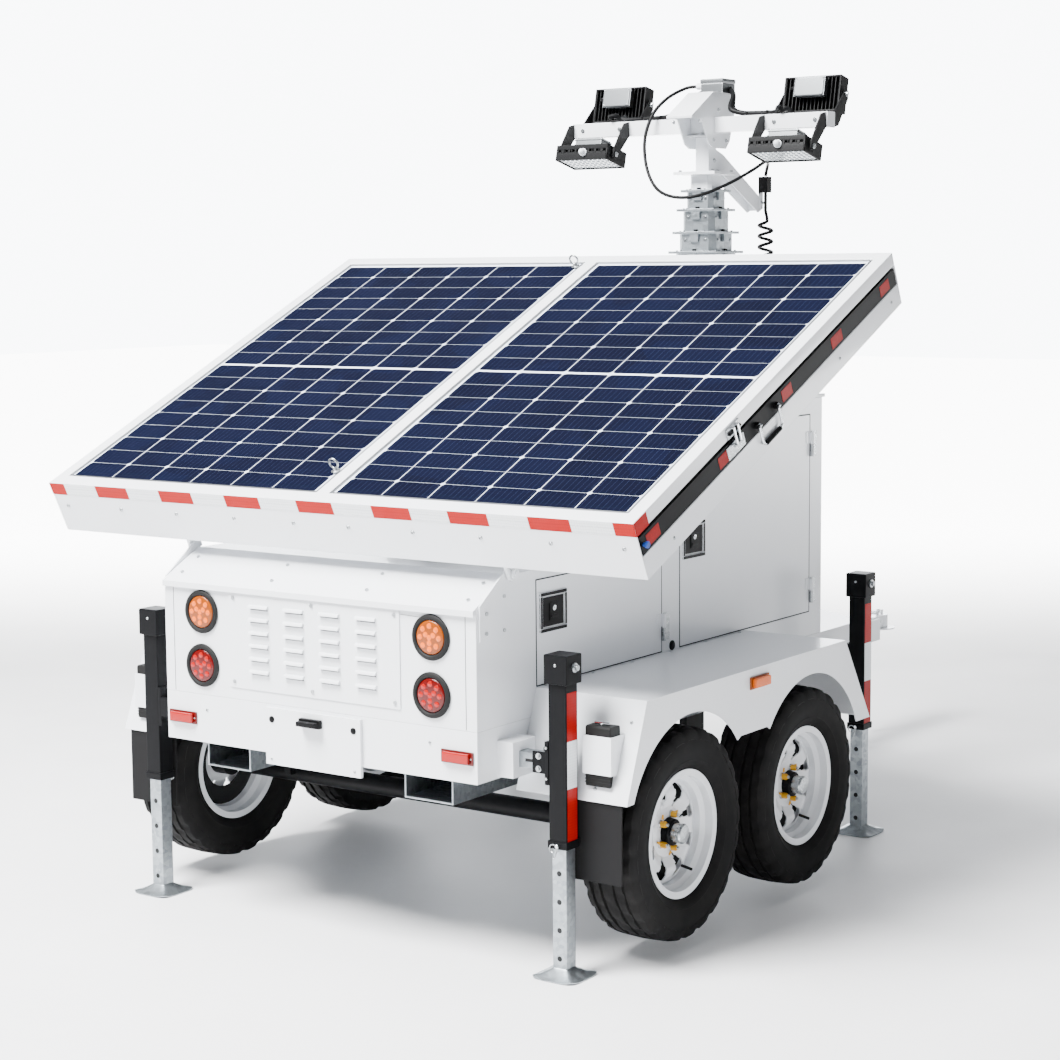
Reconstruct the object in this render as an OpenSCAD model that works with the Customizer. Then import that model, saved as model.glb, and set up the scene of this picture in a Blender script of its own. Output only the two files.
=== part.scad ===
// Solar light tower on a tandem-axle trailer.
// X runs across, +Y runs forward to the coupler, +Z is up. The ground under the jack feet is Z = 0.
// Lengths along the trailer are measured forward from the rear face of the body.

/* [Body] */
// Width of the body and of the white frame under it
body_w = 1306; // [1240:2:1340]
// Thickness of the sheet metal
sheet = 4; // [3:0.5:5]
// Underside of the white frame above the ground
frame_z = 608; // [590:2:620]
// Height of the white frame
frame_h = 163; // [150:1:170]
// Length of the whole body
body_len = 2231; // [2100:1:2300]
// Length of the low rear box
low_len = 1151; // [1120:1:1170]
// Height of the low rear box's roof
low_top_z = 1240; // [1220:1:1245]
// Height of the rear face of the body
rear_top_z = 1150; // [1140:1:1160]
// Height of the cabinet's roof
cabinet_top_z = 1692; // [1600:1:1710]
// Length of the slope over the rear face
slope_len = 170; // [150:1:180]

/* [Doors] */
// Gap around each door
door_gap = 3; // [2:0.5:4]
// Rear edge of the lower door opening
low_door_y = 317; // [300:1:330]
// Length of the lower door opening
low_door_len = 751; // [700:1:760]
// Bottom of both door openings
door_z = 864; // [858:1:870]
// Height of the lower door opening
low_door_h = 342; // [320:1:350]
// Rear edge of the tall door opening
tall_door_y = 1184; // [1180:1:1200]
// Length of the tall door opening
tall_door_len = 949; // [900:1:960]
// Height of the tall door opening
tall_door_h = 756; // [700:1:762]
// Length of a latch plate
latch_len = 148; // [130:1:160]
// Height of a latch plate
latch_h = 128; // [110:1:140]
// Radius of a door hinge pin
hinge_pin_r = 4; // [3:0.5:5]

/* [Solar array] */
// Tilt of the array at rest, in degrees
array_tilt = 25; // [20:0.5:27]
// Overall width of the array
array_w = 2424; // [2380:2:2440]
// Overall length of the array along its slope
array_len = 1832; // [1800:1:1850]
// Width of a solar module
module_w = 1134; // [1100:1:1140]
// Length of a solar module
module_len = 1722; // [1700:1:1730]
// Thickness of a solar module's frame
module_t = 30; // [25:1:40]
// Height of the tray's side channel
tray_h = 78; // [70:1:85]
// Height of the opening for the slide-out drawers
drawer_gap_h = 70; // [64:1:76]
// Height of the top frame
top_frame_h = 45; // [40:1:50]
// Height of a drawer
drawer_h = 58; // [50:1:60]
// Radius of the array's pivot pins
array_pin_r = 8; // [6:0.5:10]

/* [Running gear] */
// Height of the wheel axles, with the trailer lifted on its jacks
axle_z = 384; // [380:1:400]
// Distance of the rear axle from the rear face
axle_y = 583; // [575:1:590]
// Distance between the two axles
axle_gap = 797; // [790:1:820]
// Distance between the wheels' middle planes
track_w = 1910; // [1890:2:1930]
// Outer radius of the tyres
tyre_r = 346; // [330:1:350]
// Width of the tyres
tyre_w = 205; // [195:1:215]
// Radius of a rim's bead seat
rim_r = 190; // [185:1:195]
// Width of a rim between its flanges
rim_w = 152; // [140:1:165]
// Radius of an axle's spindle
spindle_r = 20; // [16:1:24]
// Outer width over the fenders
fender_w = 2132; // [2110:2:2150]
// Height of the fender's flat top
fender_z = 862; // [850:1:870]

/* [Jacks] */
// Half distance between the rear jacks' legs
jack_x = 859; // [840:1:900]
// Half distance between the front jacks' legs
front_jack_x = 811; // [800:1:850]
// Distance of the rear jacks from the rear face
jack_y = 163; // [155:1:165]
// Distance of the front jacks from the rear face
front_jack_y = 2253; // [2248:1:2270]
// Side of the square outrigger beam
beam_s = 50; // [45:1:52]
// Height of the outrigger beams
beam_z = 672; // [665:1:680]
// Side of a jack's outer tube
jack_tube_s = 65; // [62:1:70]
// Side of a jack's drop leg
leg_s = 52; // [48:1:53]
// Height of the top of a jack's leg
leg_top_z = 560; // [540:1:565]
// Side of a jack's foot
foot_s = 165; // [140:1:180]

/* [Mast] */
// Distance of the mast from the rear face
mast_y = 2461; // [2440:1:2480]
// Width of the outermost mast section
mast_s = 195; // [190:1:200]
// How much narrower each inner section is
mast_step = 24; // [23:0.5:25]
// Wall of a mast section
mast_wall = 5; // [4:0.5:6]
// Side of the white top tube
top_tube_s = 60; // [55:1:64]
// Height of the light bar's centre line
bar_z = 2738; // [2700:1:2760]
// Length of the light bar
bar_len = 1184; // [1150:2:1250]
// Side of the light bar
bar_s = 60; // [50:1:64]
// Width of a floodlight's housing
lamp_w = 250; // [230:2:256]
// Depth of a floodlight's housing
lamp_d = 145; // [130:1:150]
// Thickness of a floodlight's housing
lamp_t = 64; // [55:1:66]

/* [Tongue] */
// Distance of the coupler's ball centre from the rear face
coupler_y = 4060; // [3900:5:4100]
// Radius of the coupler's ball socket
ball_r = 25.5; // [25.4:0.1:29.5]
// Underside of the tongue
tongue_z = 438; // [430:1:450]
// Side of the tongue tube
tongue_s = 100; // [90:1:110]

/* [Hidden] */
$fn = 32;
eps = 0.01;
slack = 0.3;                 // gap between pieces that rest on each other
pin_gap = 0.05;              // radial running clearance of a pin
half_w = body_w / 2;
deck_z = frame_z + frame_h;
deck_len = 2584;
deck_front = 2945;
deck_tip = 80;
rail_in = 560;
rail_w = 60;
lamp_out = 52;               // how far the licence lamp stands out behind the body
coupler_nose = 72;
y_shift = (lamp_out - coupler_y - coupler_nose) / 2;

// Solar array, in its own frame: x across, y up the slope, z off its face, origin on the pivot
pivot_y = 168;
pivot_z = 1245;
array_y0 = -56;
tray_z = 56;
drawer_z = tray_z + tray_h;
frame_top_z = drawer_z + drawer_gap_h;
array_top = frame_top_z + top_frame_h;
module_y0 = 1;
module_x0 = 28;
glass_drop = 3;
rail_face = array_w / 2;
lug_x = half_w + 9;
lug_t = 12;
strut_x = 400;
strut_base = [1050, 1262];
strut_len = 452.5;
strut_angle = 83.22;
strut_seat = [1050, 24];

screw_r = 6;
lamp_x = 482;
lamp_z = [1052, 871];
louvre_w = 716;
louvre_z = [812, 1131];
hub_r = 52;
well_r = 172;                // inner radius of a rim's well, which its disc is pressed into
mast_tops = [2239, 2317, 2407, 2483];
mast_foot = 783;
collar_t = 10;
plate_z = 2542;
tube_top_z = 2690;
bar_x = -30;
lamp_xs = [450, -450];
lamp_off = [134, 106];       // from the bar's centre line to a floodlight's pivot
lamp_tilt_front = 14;
lamp_tilt_back = 12;
head_w = 104;
arm_gap = 6;
cord_x = 45;
cord_y = 2870;
cord_r = 34;
cord_top_z = 2480;
cord_foot_z = 990;
curl_top_z = 2390;
cable_r = 7;
clamp_h = 65;
foot_t = 10;
collar_z = 408;
cap_z = 921;
cap_h = 92;
loop_route = [[-80.8, 2530, 2900], [-130, 2520, 2895], [-180, 2460, 2855], [-215, 2405, 2790],
    [-230, 2370, 2700], [-215, 2345, 2610], [-175, 2320, 2530], [-110, 2290, 2475],
    [-20, 2275, 2450], [70, 2300, 2458], [140, 2390, 2500], [175, 2520, 2555],
    [150, 2680, 2598], [95, 2800, 2598], [55, 2860, 2570], [45, 2870, 2549]];

module place() {
    translate([0, y_shift, 0]) children();
}

module sides() {
    children();
    mirror([1, 0, 0]) children();
}

// A flat outline in Y and Z, drawn out from x0 to x1
module across(x0, x1) {
    translate([x0, 0, 0]) rotate([90, 0, 90]) linear_extrude(x1 - x0) children();
}

module block(from, to) {
    translate(from) cube(to - from);
}

module tube_x(side, wall, x0, x1, y, z) {
    difference() {
        block([x0, y - side / 2, z - side / 2], [x1, y + side / 2, z + side / 2]);
        block([x0 - 1, y - side / 2 + wall, z - side / 2 + wall],
              [x1 + 1, y + side / 2 - wall, z + side / 2 - wall]);
    }
}

module post(side, wall, z0, z1) {
    translate([0, 0, z0]) linear_extrude(z1 - z0) difference() {
        square(side, center = true);
        square(side - 2 * wall, center = true);
    }
}

module pin_x(r, x0, x1) {
    translate([x0, 0, 0]) rotate([0, 90, 0]) cylinder(r = r, h = x1 - x0);
}

module in_array() {
    place() translate([0, pivot_y, pivot_z]) rotate([array_tilt, 0, 0]) children();
}

function mast_side(k) = mast_s - k * mast_step;

// ---- Frame ----

module deck_outline(inset) {
    tip_y = deck_front - inset;
    side_x = half_w - inset;
    polygon([[-side_x, inset], [side_x, inset], [side_x, deck_len - inset / 2],
             [deck_tip, tip_y], [-deck_tip, tip_y], [-side_x, deck_len - inset / 2]]);
}

module receiver(x, y) {
    block([half_w - eps, y - 60, beam_z - 57], [x, y + 60, beam_z + 57]);
}

module receiver_hole(y) {
    hole = beam_s + 1;
    block([290, y - hole / 2, beam_z - hole / 2], [half_w + 90, y + hole / 2, beam_z + hole / 2]);
}

module receiver_sleeve(y) {
    block([300, y - 32, beam_z - 32], [half_w - sheet + eps, y + 32, beam_z + 32]);
}

module main_frame() color("white") place() difference() {
    union() {
        difference() {
            translate([0, 0, frame_z]) linear_extrude(frame_h) deck_outline(0);
            translate([0, 0, frame_z - 1]) linear_extrude(frame_h + 1 - sheet) deck_outline(sheet);
        }
        sides() {
            receiver(half_w + 60, jack_y);
            receiver(half_w + 52, front_jack_y);
            receiver_sleeve(jack_y);
            receiver_sleeve(front_jack_y);
        }
        block([-tongue_s / 2, 2400, tongue_z], [tongue_s / 2, coupler_y - 90, tongue_z + tongue_s]);
        block([-tongue_s / 2, 2800, tongue_z + tongue_s - 1], [tongue_s / 2, 2880, deck_z - 2]);
        sides() translate([0, 0, tongue_z + tongue_s - 8]) linear_extrude(frame_z - tongue_z - tongue_s + 8)
            polygon([[rail_in, 1900], [rail_in + rail_w, 1900], [rail_in + rail_w, 2100],
                     [40, 3350], [40, 3250]]);
    }
    sides() {
        receiver_hole(jack_y);
        receiver_hole(front_jack_y);
    }
    block([-tongue_s / 2 + 6, 2390, tongue_z + 6], [tongue_s / 2 - 6, coupler_y - 80, tongue_z + tongue_s - 6]);
}

module fork_pocket() difference() {
    block([327, 50, frame_z - 91], [520, 1060, frame_z]);
    block([333, 40, frame_z - 85], [514, 1070, frame_z - 6]);
}

module underframe() color("silver") place() {
    top = frame_h - sheet;
    sides() block([rail_in, 230, frame_z], [rail_in + rail_w, 2180, frame_z + top]);
    for (y = [230, 1000, 1560, 2120])
        block([-rail_in - eps, y, frame_z], [rail_in + eps, y + 60, frame_z + top]);
    sides() fork_pocket();
}

module coupler() color("white") place() {
    z = tongue_z + tongue_s;
    translate([0, coupler_y, z - 60]) {
        difference() {
            union() {
                cylinder(r = ball_r + 14, h = 66);
                block([-32, -200, 60 + slack], [32, 0, 66]);
                block([-32, -89, 6], [32, 0, 66]);
                cylinder(r = coupler_nose, h = 6);
            }
            translate([0, 0, -1]) cylinder(r = ball_r, h = 48);
        }
        sides() block([8, -12, 65], [13, 12, 88]);
        translate([0, 0, 80]) pin_x(3, -9, 9);
    }
}

module coupler_latch() color("silver") place() translate([0, coupler_y, tongue_z + tongue_s + 20]) {
    difference() {
        union() {
            block([-5, -70, -3], [5, 0, 5]);
            pin_x(9, -6, 6);
        }
        pin_x(3 + pin_gap, -7, 7);
    }
    translate([0, -70, 1]) pin_x(8, -22, 22);
}

module safety_chain() color("silver") place() {
    pitch = 34;
    translate([0, coupler_y - 150, tongue_z - 14]) {
        block([-14, -14, -2], [14, 14, 14 - slack]);
        for (k = [0 : 9])
            translate([0, 0, -14 - k * pitch]) rotate([0, 0, 90 * (k % 2)]) chain_link();
        translate([0, 0, -4]) rotate([0, 90, 0]) rotate_extrude() translate([13, 0]) circle(r = 4.5);
    }
}

module chain_link() rotate([90, 0, 0]) translate([0, -10, 0]) {
    for (s = [-1, 1])
        translate([9 * s, 0, 0]) rotate([90, 0, 0]) cylinder(r = 4, h = 24, center = true);
    for (s = [0, 1])
        mirror([0, s, 0]) translate([0, 12, 0]) rotate_extrude(angle = 180) translate([9, 0]) circle(r = 4);
}

// ---- Body ----

module shell_outline(t) {
    run = slope_len;
    polygon([[t, deck_z + t], [body_len - t, deck_z + t], [body_len - t, cabinet_top_z - t],
             [low_len + t, cabinet_top_z - t], [low_len + t, low_top_z - t],
             [run + t / 3, low_top_z - t], [t, rear_top_z - t * 0.65]]);
}

module door_hole(y, len, z, h) {
    block([half_w - sheet - 1, y, z], [half_w + 1, y + len, z + h]);
}

module body_shell() color("white") place() difference() {
    union() {
        sides() for (s = [-16, 10])
            block([strut_x + s, strut_base[0] - 18, low_top_z - 1], [strut_x + s + 6, strut_base[0] + 18, strut_base[1] + 14]);
        sides() translate([0, strut_base[0], strut_base[1]]) pin_x(8, strut_x - 16, strut_x + 16);
        across(-half_w, half_w) shell_outline(0);
        block([-half_w - 8, low_len - 8, cabinet_top_z - 12], [half_w + 8, body_len + 8, cabinet_top_z + 2]);
    }
    across(-half_w + sheet, half_w - sheet) shell_outline(sheet);
    door_hole(low_door_y, low_door_len, door_z, low_door_h);
    sides() door_hole(tall_door_y, tall_door_len, door_z, tall_door_h);
    for (z = lamp_z)
        sides() translate([lamp_x, -1, z]) rotate([-90, 0, 0]) cylinder(r = 56, h = sheet + 2);
    block([-louvre_w / 2 + 40, -1, louvre_z[0] + 40], [louvre_w / 2 - 40, sheet + 1, louvre_z[1] - 40]);
}

module rear_cover() color("white") place() {
    rise = (low_top_z - rear_top_z) / slope_len;
    w = half_w - 2;
    across(-w, w) polygon([[-12, rear_top_z - 22], [-9, rear_top_z - 22], [-9, rear_top_z - 9 * rise + 0.5],
        [slope_len - 4, low_top_z - 4 * rise + 0.5], [slope_len - 4, low_top_z - 4 * rise + 4],
        [-12, rear_top_z - 12 * rise + 4]]);
}

module louvre(x, z) {
    translate([x, -5, z]) rotate([0, 90, 0]) intersection() {
        cylinder(r = 11, h = 82, center = true);
        block([-11, -11, -41], [0, 4, 41]);
    }
}

module rear_panels() color("white") place() {
    difference() {
        block([-louvre_w / 2, -4, louvre_z[0]], [louvre_w / 2, 0, louvre_z[1]]);
        for (x = [-225, -75, 75, 225])
            for (k = [0 : 5])
                block([x - 38, -5, 862 + 43 * k], [x + 38, 1, 868 + 43 * k]);
    }
    for (x = [-225, -75, 75, 225])
        for (k = [0 : 5])
            louvre(x, 868 + 43 * k);
    difference() {
        block([-200, -12, 574], [200, -slack, 762]);
        block([-196, -9, 570], [196, 1, 758]);
        for (s = [-172, 172])
            translate([s, -13, 724]) rotate([-90, 0, 0]) cylinder(r = 8, h = 6);
    }
    block([-60, -9 - eps, 700], [60, -slack, 720]);
}

module lamp_housings() color("dimgray") place() {
    for (z = lamp_z)
        sides() translate([lamp_x, -11, z]) rotate([-90, 0, 0]) difference() {
            cylinder(r = 73, h = 10.7);
            translate([0, 0, -1]) cylinder(r = 54.3, h = 13);
        }
    across(-42, 42) polygon([[-12 - slack, 716], [-12 - slack, 744], [-30, 744], [-lamp_out, 728], [-lamp_out, 718]]);
    for (s = [-172, 172])
        translate([s, -16, 724]) rotate([-90, 0, 0]) {
            cylinder(r = 11, h = 4 - slack);
            cylinder(r = 8 - slack, h = 6);
        }
}

module marker(w, h) {
    cube([w, 10, h], center = true);
    translate([0, -7, 0]) cube([w - 14, 14, h - 8], center = true);
}

module round_lamp(x, z) {
    translate([x, -13, z]) rotate([-90, 0, 0]) cylinder(r = 54, h = 40);
}

module amber_lamps() color("orange") place() {
    sides() round_lamp(lamp_x, lamp_z[0]);
    sides() translate([fender_w / 2 + 5 + slack, axle_y + axle_gap / 2 + 30, fender_z - 48])
        rotate([0, 0, 90]) marker(112, 38);
}

module red_lamps() color("red") place() {
    sides() round_lamp(lamp_x, lamp_z[1]);
    sides() translate([578, -5 - slack, 687]) marker(116, 38);
}

module array_brackets() color("white") place() sides() {
    difference() {
        across(half_w + slack, half_w + 6) polygon([[12, 1050], [154, 1050], [154, 1226], [pivot_y + 22, pivot_z],
            [pivot_y + 15, pivot_z + 16], [pivot_y, pivot_z + 22], [pivot_y - 17, pivot_z + 14],
            [12, 1160]]);
        translate([half_w - 1, pivot_y, pivot_z]) pin_x(array_pin_r - eps, 0, 10);
    }
    translate([half_w, pivot_y, pivot_z]) {
        pin_x(array_pin_r, slack, lug_t + 24);
        pin_x(16, lug_t + 12, lug_t + 20);
    }
}

module hinge_at(y, z) {
    block([half_w + slack, y + 6, z], [half_w + 3, y + 42, z + 96]);
    translate([half_w + 8, y, z]) {
        cylinder(r = 7, h = 46);
        cylinder(r = hinge_pin_r, h = 94);
        block([-5, 0, 0], [0, 8, 46]);
    }
}

low_hinge_y = low_door_y + low_door_len + 3;
tall_hinge_y = tall_door_y + tall_door_len + 3;

module door_hinges() color("silver") place() {
    hinge_at(low_hinge_y, 904);
    sides() for (z = [900, 1460])
        hinge_at(tall_hinge_y, z);
}

module screw_y(x, y, z) {
    translate([x, y, z]) rotate([90, 0, 0]) cylinder(r = screw_r, h = 4);
}

module screw_x(x, y, z) {
    translate([x, y, z]) rotate([0, 90, 0]) cylinder(r = screw_r, h = 4);
}

module panel_screws() color("gray") place() {
    for (x = [-338, 0, 338])
        for (z = [832, 1111])
            screw_y(x, -4 - slack / 2, z);
    for (y = [[137, 1177], [45, 1133], [137, 1071], [44, 1072]])
        sides() screw_x(half_w + 6 + slack / 2, y[0], y[1]);
    slope = atan2(low_top_z - rear_top_z, slope_len);
    for (x = [-600, -200, 200, 600])
        for (s = [40, 130])
            translate([x, 0, rear_top_z]) rotate([slope, 0, 0]) translate([0, s, 4.2])
                cylinder(r = screw_r, h = 4);
}

module battery_bank() color("dimgray") place() {
    for (x = [-480, -240, 0, 240])
        for (y = [1300, 1560])
            block([x, y, deck_z + sheet + slack], [x + 220, y + 240, deck_z + 225]);
}

// ---- Running gear ----

fender_y0 = 201;
fender_y1 = 1827;

fender_tip = 554;
fender_top = [317, 1634];

module fender_outline(t) {
    polygon([[fender_y0 + t, fender_tip], [fender_top[0] + t * 0.7, fender_z - t],
             [fender_top[1] - t * 0.7, fender_z - t], [fender_y1 - t, fender_tip]]);
}

function fender_back(z) = fender_y0 + (z - fender_tip) * (fender_top[0] - fender_y0) / (fender_z - fender_tip);

module fenders() color("white") place() sides() {
    outer = fender_w / 2;
    arch = 372;
    difference() {
        across(half_w + slack, outer) fender_outline(0);
        across(half_w - 1, outer - sheet) {
            fender_outline(sheet);
            translate([fender_y0 + sheet, fender_tip - 10]) square([fender_y1 - fender_y0 - 2 * sheet, 11]);
        }
        for (k = [0, 1])
            translate([0, axle_y + k * axle_gap, axle_z + 24]) pin_x(arch, outer - sheet - 1, outer + 1);
        across(outer - sheet - 1, outer + 1)
            polygon([[axle_y + 60, 500], [axle_y + axle_gap - 60, 500], [1070, 650], [893, 650]]);
    }
}

module mud_flaps() color("dimgray") place() sides() translate([half_w + 170, 0, 0]) across(0, 220) {
    y = fender_y0 + sheet + slack;
    polygon([[y + 1, 300], [y + 7, 300], [y + 7, 558], [y + 20, 590], [y + 14, 590], [y + 1.6, 557]]);
}

module chock_holders() color("white") place() sides() {
    low = 640;
    high = 760;
    difference() {
        across(905, 1010) polygon([[200, low], [fender_back(low) - slack, low],
                                   [fender_back(high) - slack, high], [200, high]]);
        across(909, 1006) polygon([[204, low - 10], [fender_back(low) - 9, low - 10],
                                   [fender_back(high) - 1, high + 10], [204, high + 10]]);
    }
}

module wheel_chocks() color("dimgray") place() sides()
    across(909 + slack, 1006 - slack) polygon([[204 + slack, 600], [216, 600], [224, 640],
        [fender_back(760) - 12, 760], [fender_back(760) - 12, 790], [204 + slack, 790]]);

module axles() color("dimgray") place() {
    reach = track_w / 2;
    for (k = [0, 1])
        translate([0, axle_y + k * axle_gap, axle_z]) {
            pin_x(35, -reach + 110, reach - 110);
            sides() {
                pin_x(spindle_r, reach - 111, reach + 40);
                block([rail_in + 10, -60, 0], [rail_in + 40, 60, frame_z - axle_z]);
            }
        }
}

module rim_section() {
    w = rim_w / 2;
    lip = rim_r + 18;
    polygon([[rim_r - 4, w - 2], [rim_r - 4, 40], [well_r, 34], [well_r, -30], [rim_r - 4, -42], [rim_r - 4, -w],
             [lip, -w - 4], [lip, -w], [rim_r, -w + 2], [rim_r, -46], [well_r + 4, -34], [well_r + 4, 38],
             [rim_r, 44], [rim_r, w - 2], [lip, w], [lip, w + 4]]);
}

module disc_section() {
    edge = well_r - slack;
    polygon([[hub_r - 1, 0], [hub_r - 1, 8], [95, 14], [120, 30], [150, 14], [edge, 8], [edge, 0],
             [150, 4], [120, 22], [95, 6]]);
}

module hub_section() {
    polygon([[spindle_r + pin_gap, -50], [hub_r, -50], [hub_r, 20], [34, 30], [34, 84], [0, 84], [0, 44],
             [spindle_r + pin_gap, 44]]);
}

module rim() {
    rotate_extrude() rim_section();
    difference() {
        union() {
            rotate_extrude() disc_section();
            rotate_extrude() hub_section();
        }
        for (k = [0 : 7])
            rotate([0, 0, 45 * k]) translate([0, 0, -5]) linear_extrude(60)
                polygon([[106, -14], [106, 14], [150, 34], [156, 20], [156, -20], [150, -34]]);
    }
}

module tyre() rotate_extrude() {
    w = tyre_w / 2;
    bead = rim_w / 2 - 5;
    polygon([[rim_r + slack, -bead], [rim_r + 22, -bead - 1], [rim_r + 60, -w], [tyre_r - 60, -w],
             [tyre_r - 22, -w + 6], [tyre_r - 4, -w + 22], [tyre_r, 0], [tyre_r - 4, w - 22],
             [tyre_r - 22, w - 6], [tyre_r - 60, w], [rim_r + 60, w], [rim_r + 22, bead + 1],
             [rim_r + slack, bead], [rim_r + slack, bead - 14], [tyre_r - 30, w - 24],
             [tyre_r - 16, 0], [tyre_r - 30, -w + 24], [rim_r + slack, -bead + 14]]);
}

module wheel(k, side) color("white") place()
    translate([side * track_w / 2, axle_y + k * axle_gap, axle_z]) rotate([0, side * 90, 0]) {
        rim();
        tyre();
    }

// ---- Jacks ----

module outrigger(x, y, side) color("dimgray") place() mirror([side < 0 ? 1 : 0, 0, 0]) {
    in_face = x - jack_tube_s / 2;
    tube_x(beam_s, 4, x - 540, in_face - 12, y, beam_z);
    block([in_face - 14, y - 34, beam_z - 68], [in_face + eps, y + 34, beam_z + 68]);
    translate([x, y, 0]) {
        post(jack_tube_s, 5, collar_z + 20, cap_z + 5);
        difference() {
            translate([-42.5, -42.5, cap_z]) cube([85, 85, cap_h]);
            translate([-jack_tube_s / 2 + 5, -jack_tube_s / 2 + 5, cap_z - 1])
                cube([jack_tube_s - 10, jack_tube_s - 10, 30]);
        }
        post(jack_tube_s + 7, (jack_tube_s + 7 - leg_s - 1) / 2, collar_z, collar_z + 25);
        translate([42, 0, cap_z + 52]) pin_x(9, 0, 16);
    }
}

module leg(x, y, side) color("silver") place() translate([side * x, y, 0]) {
    difference() {
        post(leg_s, 4, foot_t - eps, leg_top_z);
        for (k = [0 : 3])
            translate([0, 0, 30 + 90 * k]) rotate([90, 0, 0]) cylinder(r = 9, h = leg_s + 2, center = true);
    }
    linear_extrude(foot_t) polygon([for (s = [[1, 0.7], [0.7, 1], [-0.7, 1], [-1, 0.7],
        [-1, -0.7], [-0.7, -1], [0.7, -1], [1, -0.7]]) s * foot_s / 2]);
}

// ---- Doors ----

module door_plate(y, len, h) {
    difference() {
        block([half_w - sheet, y + door_gap, door_z + door_gap],
              [half_w, y + len - door_gap, door_z + h - door_gap]);
        children();
    }
}

module latch_hole(y, z) {
    block([half_w - sheet - 1, y + 20, z + 20], [half_w + 1, y + latch_len - 20, z + latch_h - 20]);
}

module latch_plate(y, z) {
    difference() {
        block([half_w - eps, y, z], [half_w + 7, y + latch_len, z + latch_h]);
        block([half_w - 1, y + 12, z + 12], [half_w + 8, y + latch_len - 12, z + latch_h - 12]);
    }
    block([half_w - sheet, y + 10, z + 10], [half_w, y + latch_len - 10, z + latch_h - 10]);
}

module hinge_leaf(y, z) {
    block([half_w - eps, y - 36, z + 50], [half_w + 3, y - 9, z + 94]);
    block([half_w - eps, y - 10, z + 50], [half_w + 2, y - 4, z + 94]);
    translate([half_w + 8, y, z + 46.5]) difference() {
        union() {
            cylinder(r = 7, h = 47);
            block([-8 + slack, -10, 3.5], [0, -2, 47]);
        }
        translate([0, 0, -1]) cylinder(r = hinge_pin_r + pin_gap, h = 50);
    }
}

low_latch = [334, 1032];
tall_latch = [1200, 1169];

module lower_door_right() color("white") place() {
    door_plate(low_door_y, low_door_len, low_door_h);
    latch_plate(low_latch[0], low_latch[1]);
    hinge_leaf(low_hinge_y, 904);
}

module tall_door() {
    door_plate(tall_door_y, tall_door_len, tall_door_h);
    latch_plate(tall_latch[0], tall_latch[1]);
    for (z = [900, 1460])
        hinge_leaf(tall_hinge_y, z);
}

module tall_door_right() color("white") place() tall_door();
module tall_door_left() color("white") place() mirror([1, 0, 0]) tall_door();

module latch(at) color("dimgray") place() {
    top = at[1] + latch_h - 19;
    block([half_w + slack, at[0] + 16, at[1] + 16], [half_w + 5, at[0] + latch_len - 16, top]);
    translate([half_w + slack + 3, at[0] + 16, top]) rotate([-90, 0, 0]) cylinder(r = 3, h = latch_len - 32);
    translate([half_w + 5 - eps, at[0] + latch_len / 2, at[1] + latch_h / 2]) pin_x(14, 0, 4);
}

// ---- Solar array ----

module array_tray() color("white") in_array() {
    y1 = array_y0 + array_len;
    difference() {
        block([-rail_face, array_y0, tray_z], [rail_face, y1, drawer_z]);
        block([-rail_face + 40, array_y0 + sheet, tray_z + sheet], [rail_face - 40, y1 - sheet, drawer_z + 1]);
        sides() block([rail_face - 37, array_y0 + sheet, tray_z + sheet],
                      [rail_face - sheet, y1 - sheet, drawer_z - 4]);
    }
    for (y = [array_y0, y1 - sheet])
        block([-rail_face, y, drawer_z - eps], [rail_face, y + sheet, frame_top_z - slack]);
    block([-6, array_y0 + 1, drawer_z - 20], [6, y1 - 1, frame_top_z - slack]);
    block([-6, array_y0 + 1, tray_z + 1], [6, y1 - 1, drawer_z - 10]);
    sides() {
        difference() {
            union() {
                translate([lug_x, 0, 0]) pin_x(24, 0, lug_t);
                block([lug_x, -24, 0], [lug_x + lug_t, 60, tray_z + 1]);
            }
            translate([lug_x - 1, 0, 0]) pin_x(array_pin_r + pin_gap, 0, lug_t + 2);
        }
        for (s = [-20, 14])
            block([strut_x + s, strut_seat[0] - 20, strut_seat[1] - 14], [strut_x + s + 6, strut_seat[0] + 20, tray_z + 1]);
        translate([0, strut_seat[0], strut_seat[1]]) pin_x(6, strut_x - 20, strut_x + 20);
    }
}

module array_top_frame() color("white") in_array() difference() {
    y1 = array_y0 + array_len;
    block([-rail_face, array_y0, frame_top_z], [rail_face, y1, array_top]);
    sides() {
        block([module_x0 - 2, module_y0 - 2, array_top - module_t - glass_drop],
              [module_x0 + module_w + 2, module_y0 + module_len + 2, array_top + 1]);
        block([module_x0 + 20, module_y0 + 20, frame_top_z - 1],
              [module_x0 + module_w - 20, module_y0 + module_len - 20, array_top]);
    }
}

module solar_module() {
    translate([module_x0, module_y0, array_top - module_t - glass_drop + slack]) difference() {
        cube([module_w, module_len, module_t]);
        translate([12, 12, -1]) cube([module_w - 24, module_len - 24, module_t - 5]);
    }
}

module solar_modules() color("midnightblue") in_array() sides() solar_module();

module drawer(side) color("dimgray") in_array() mirror([side < 0 ? 1 : 0, 0, 0]) {
    y0 = array_y0 + 10;
    len = array_len - 20;
    z0 = drawer_z + slack;
    difference() {
        block([12, y0, z0], [rail_face - 2, y0 + len, z0 + drawer_h]);
        block([42, y0 + 30, z0 - 1], [rail_face - 32, y0 + len - 30, z0 + drawer_h - 24]);
        block([42, y0 + 30, z0 - 1], [rail_face - 32, y0 + len - 30, z0 + drawer_h - 6]);
    }
}

handle_v = [697, 830];
handle_n = 160;
handle_drop = 72;

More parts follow.
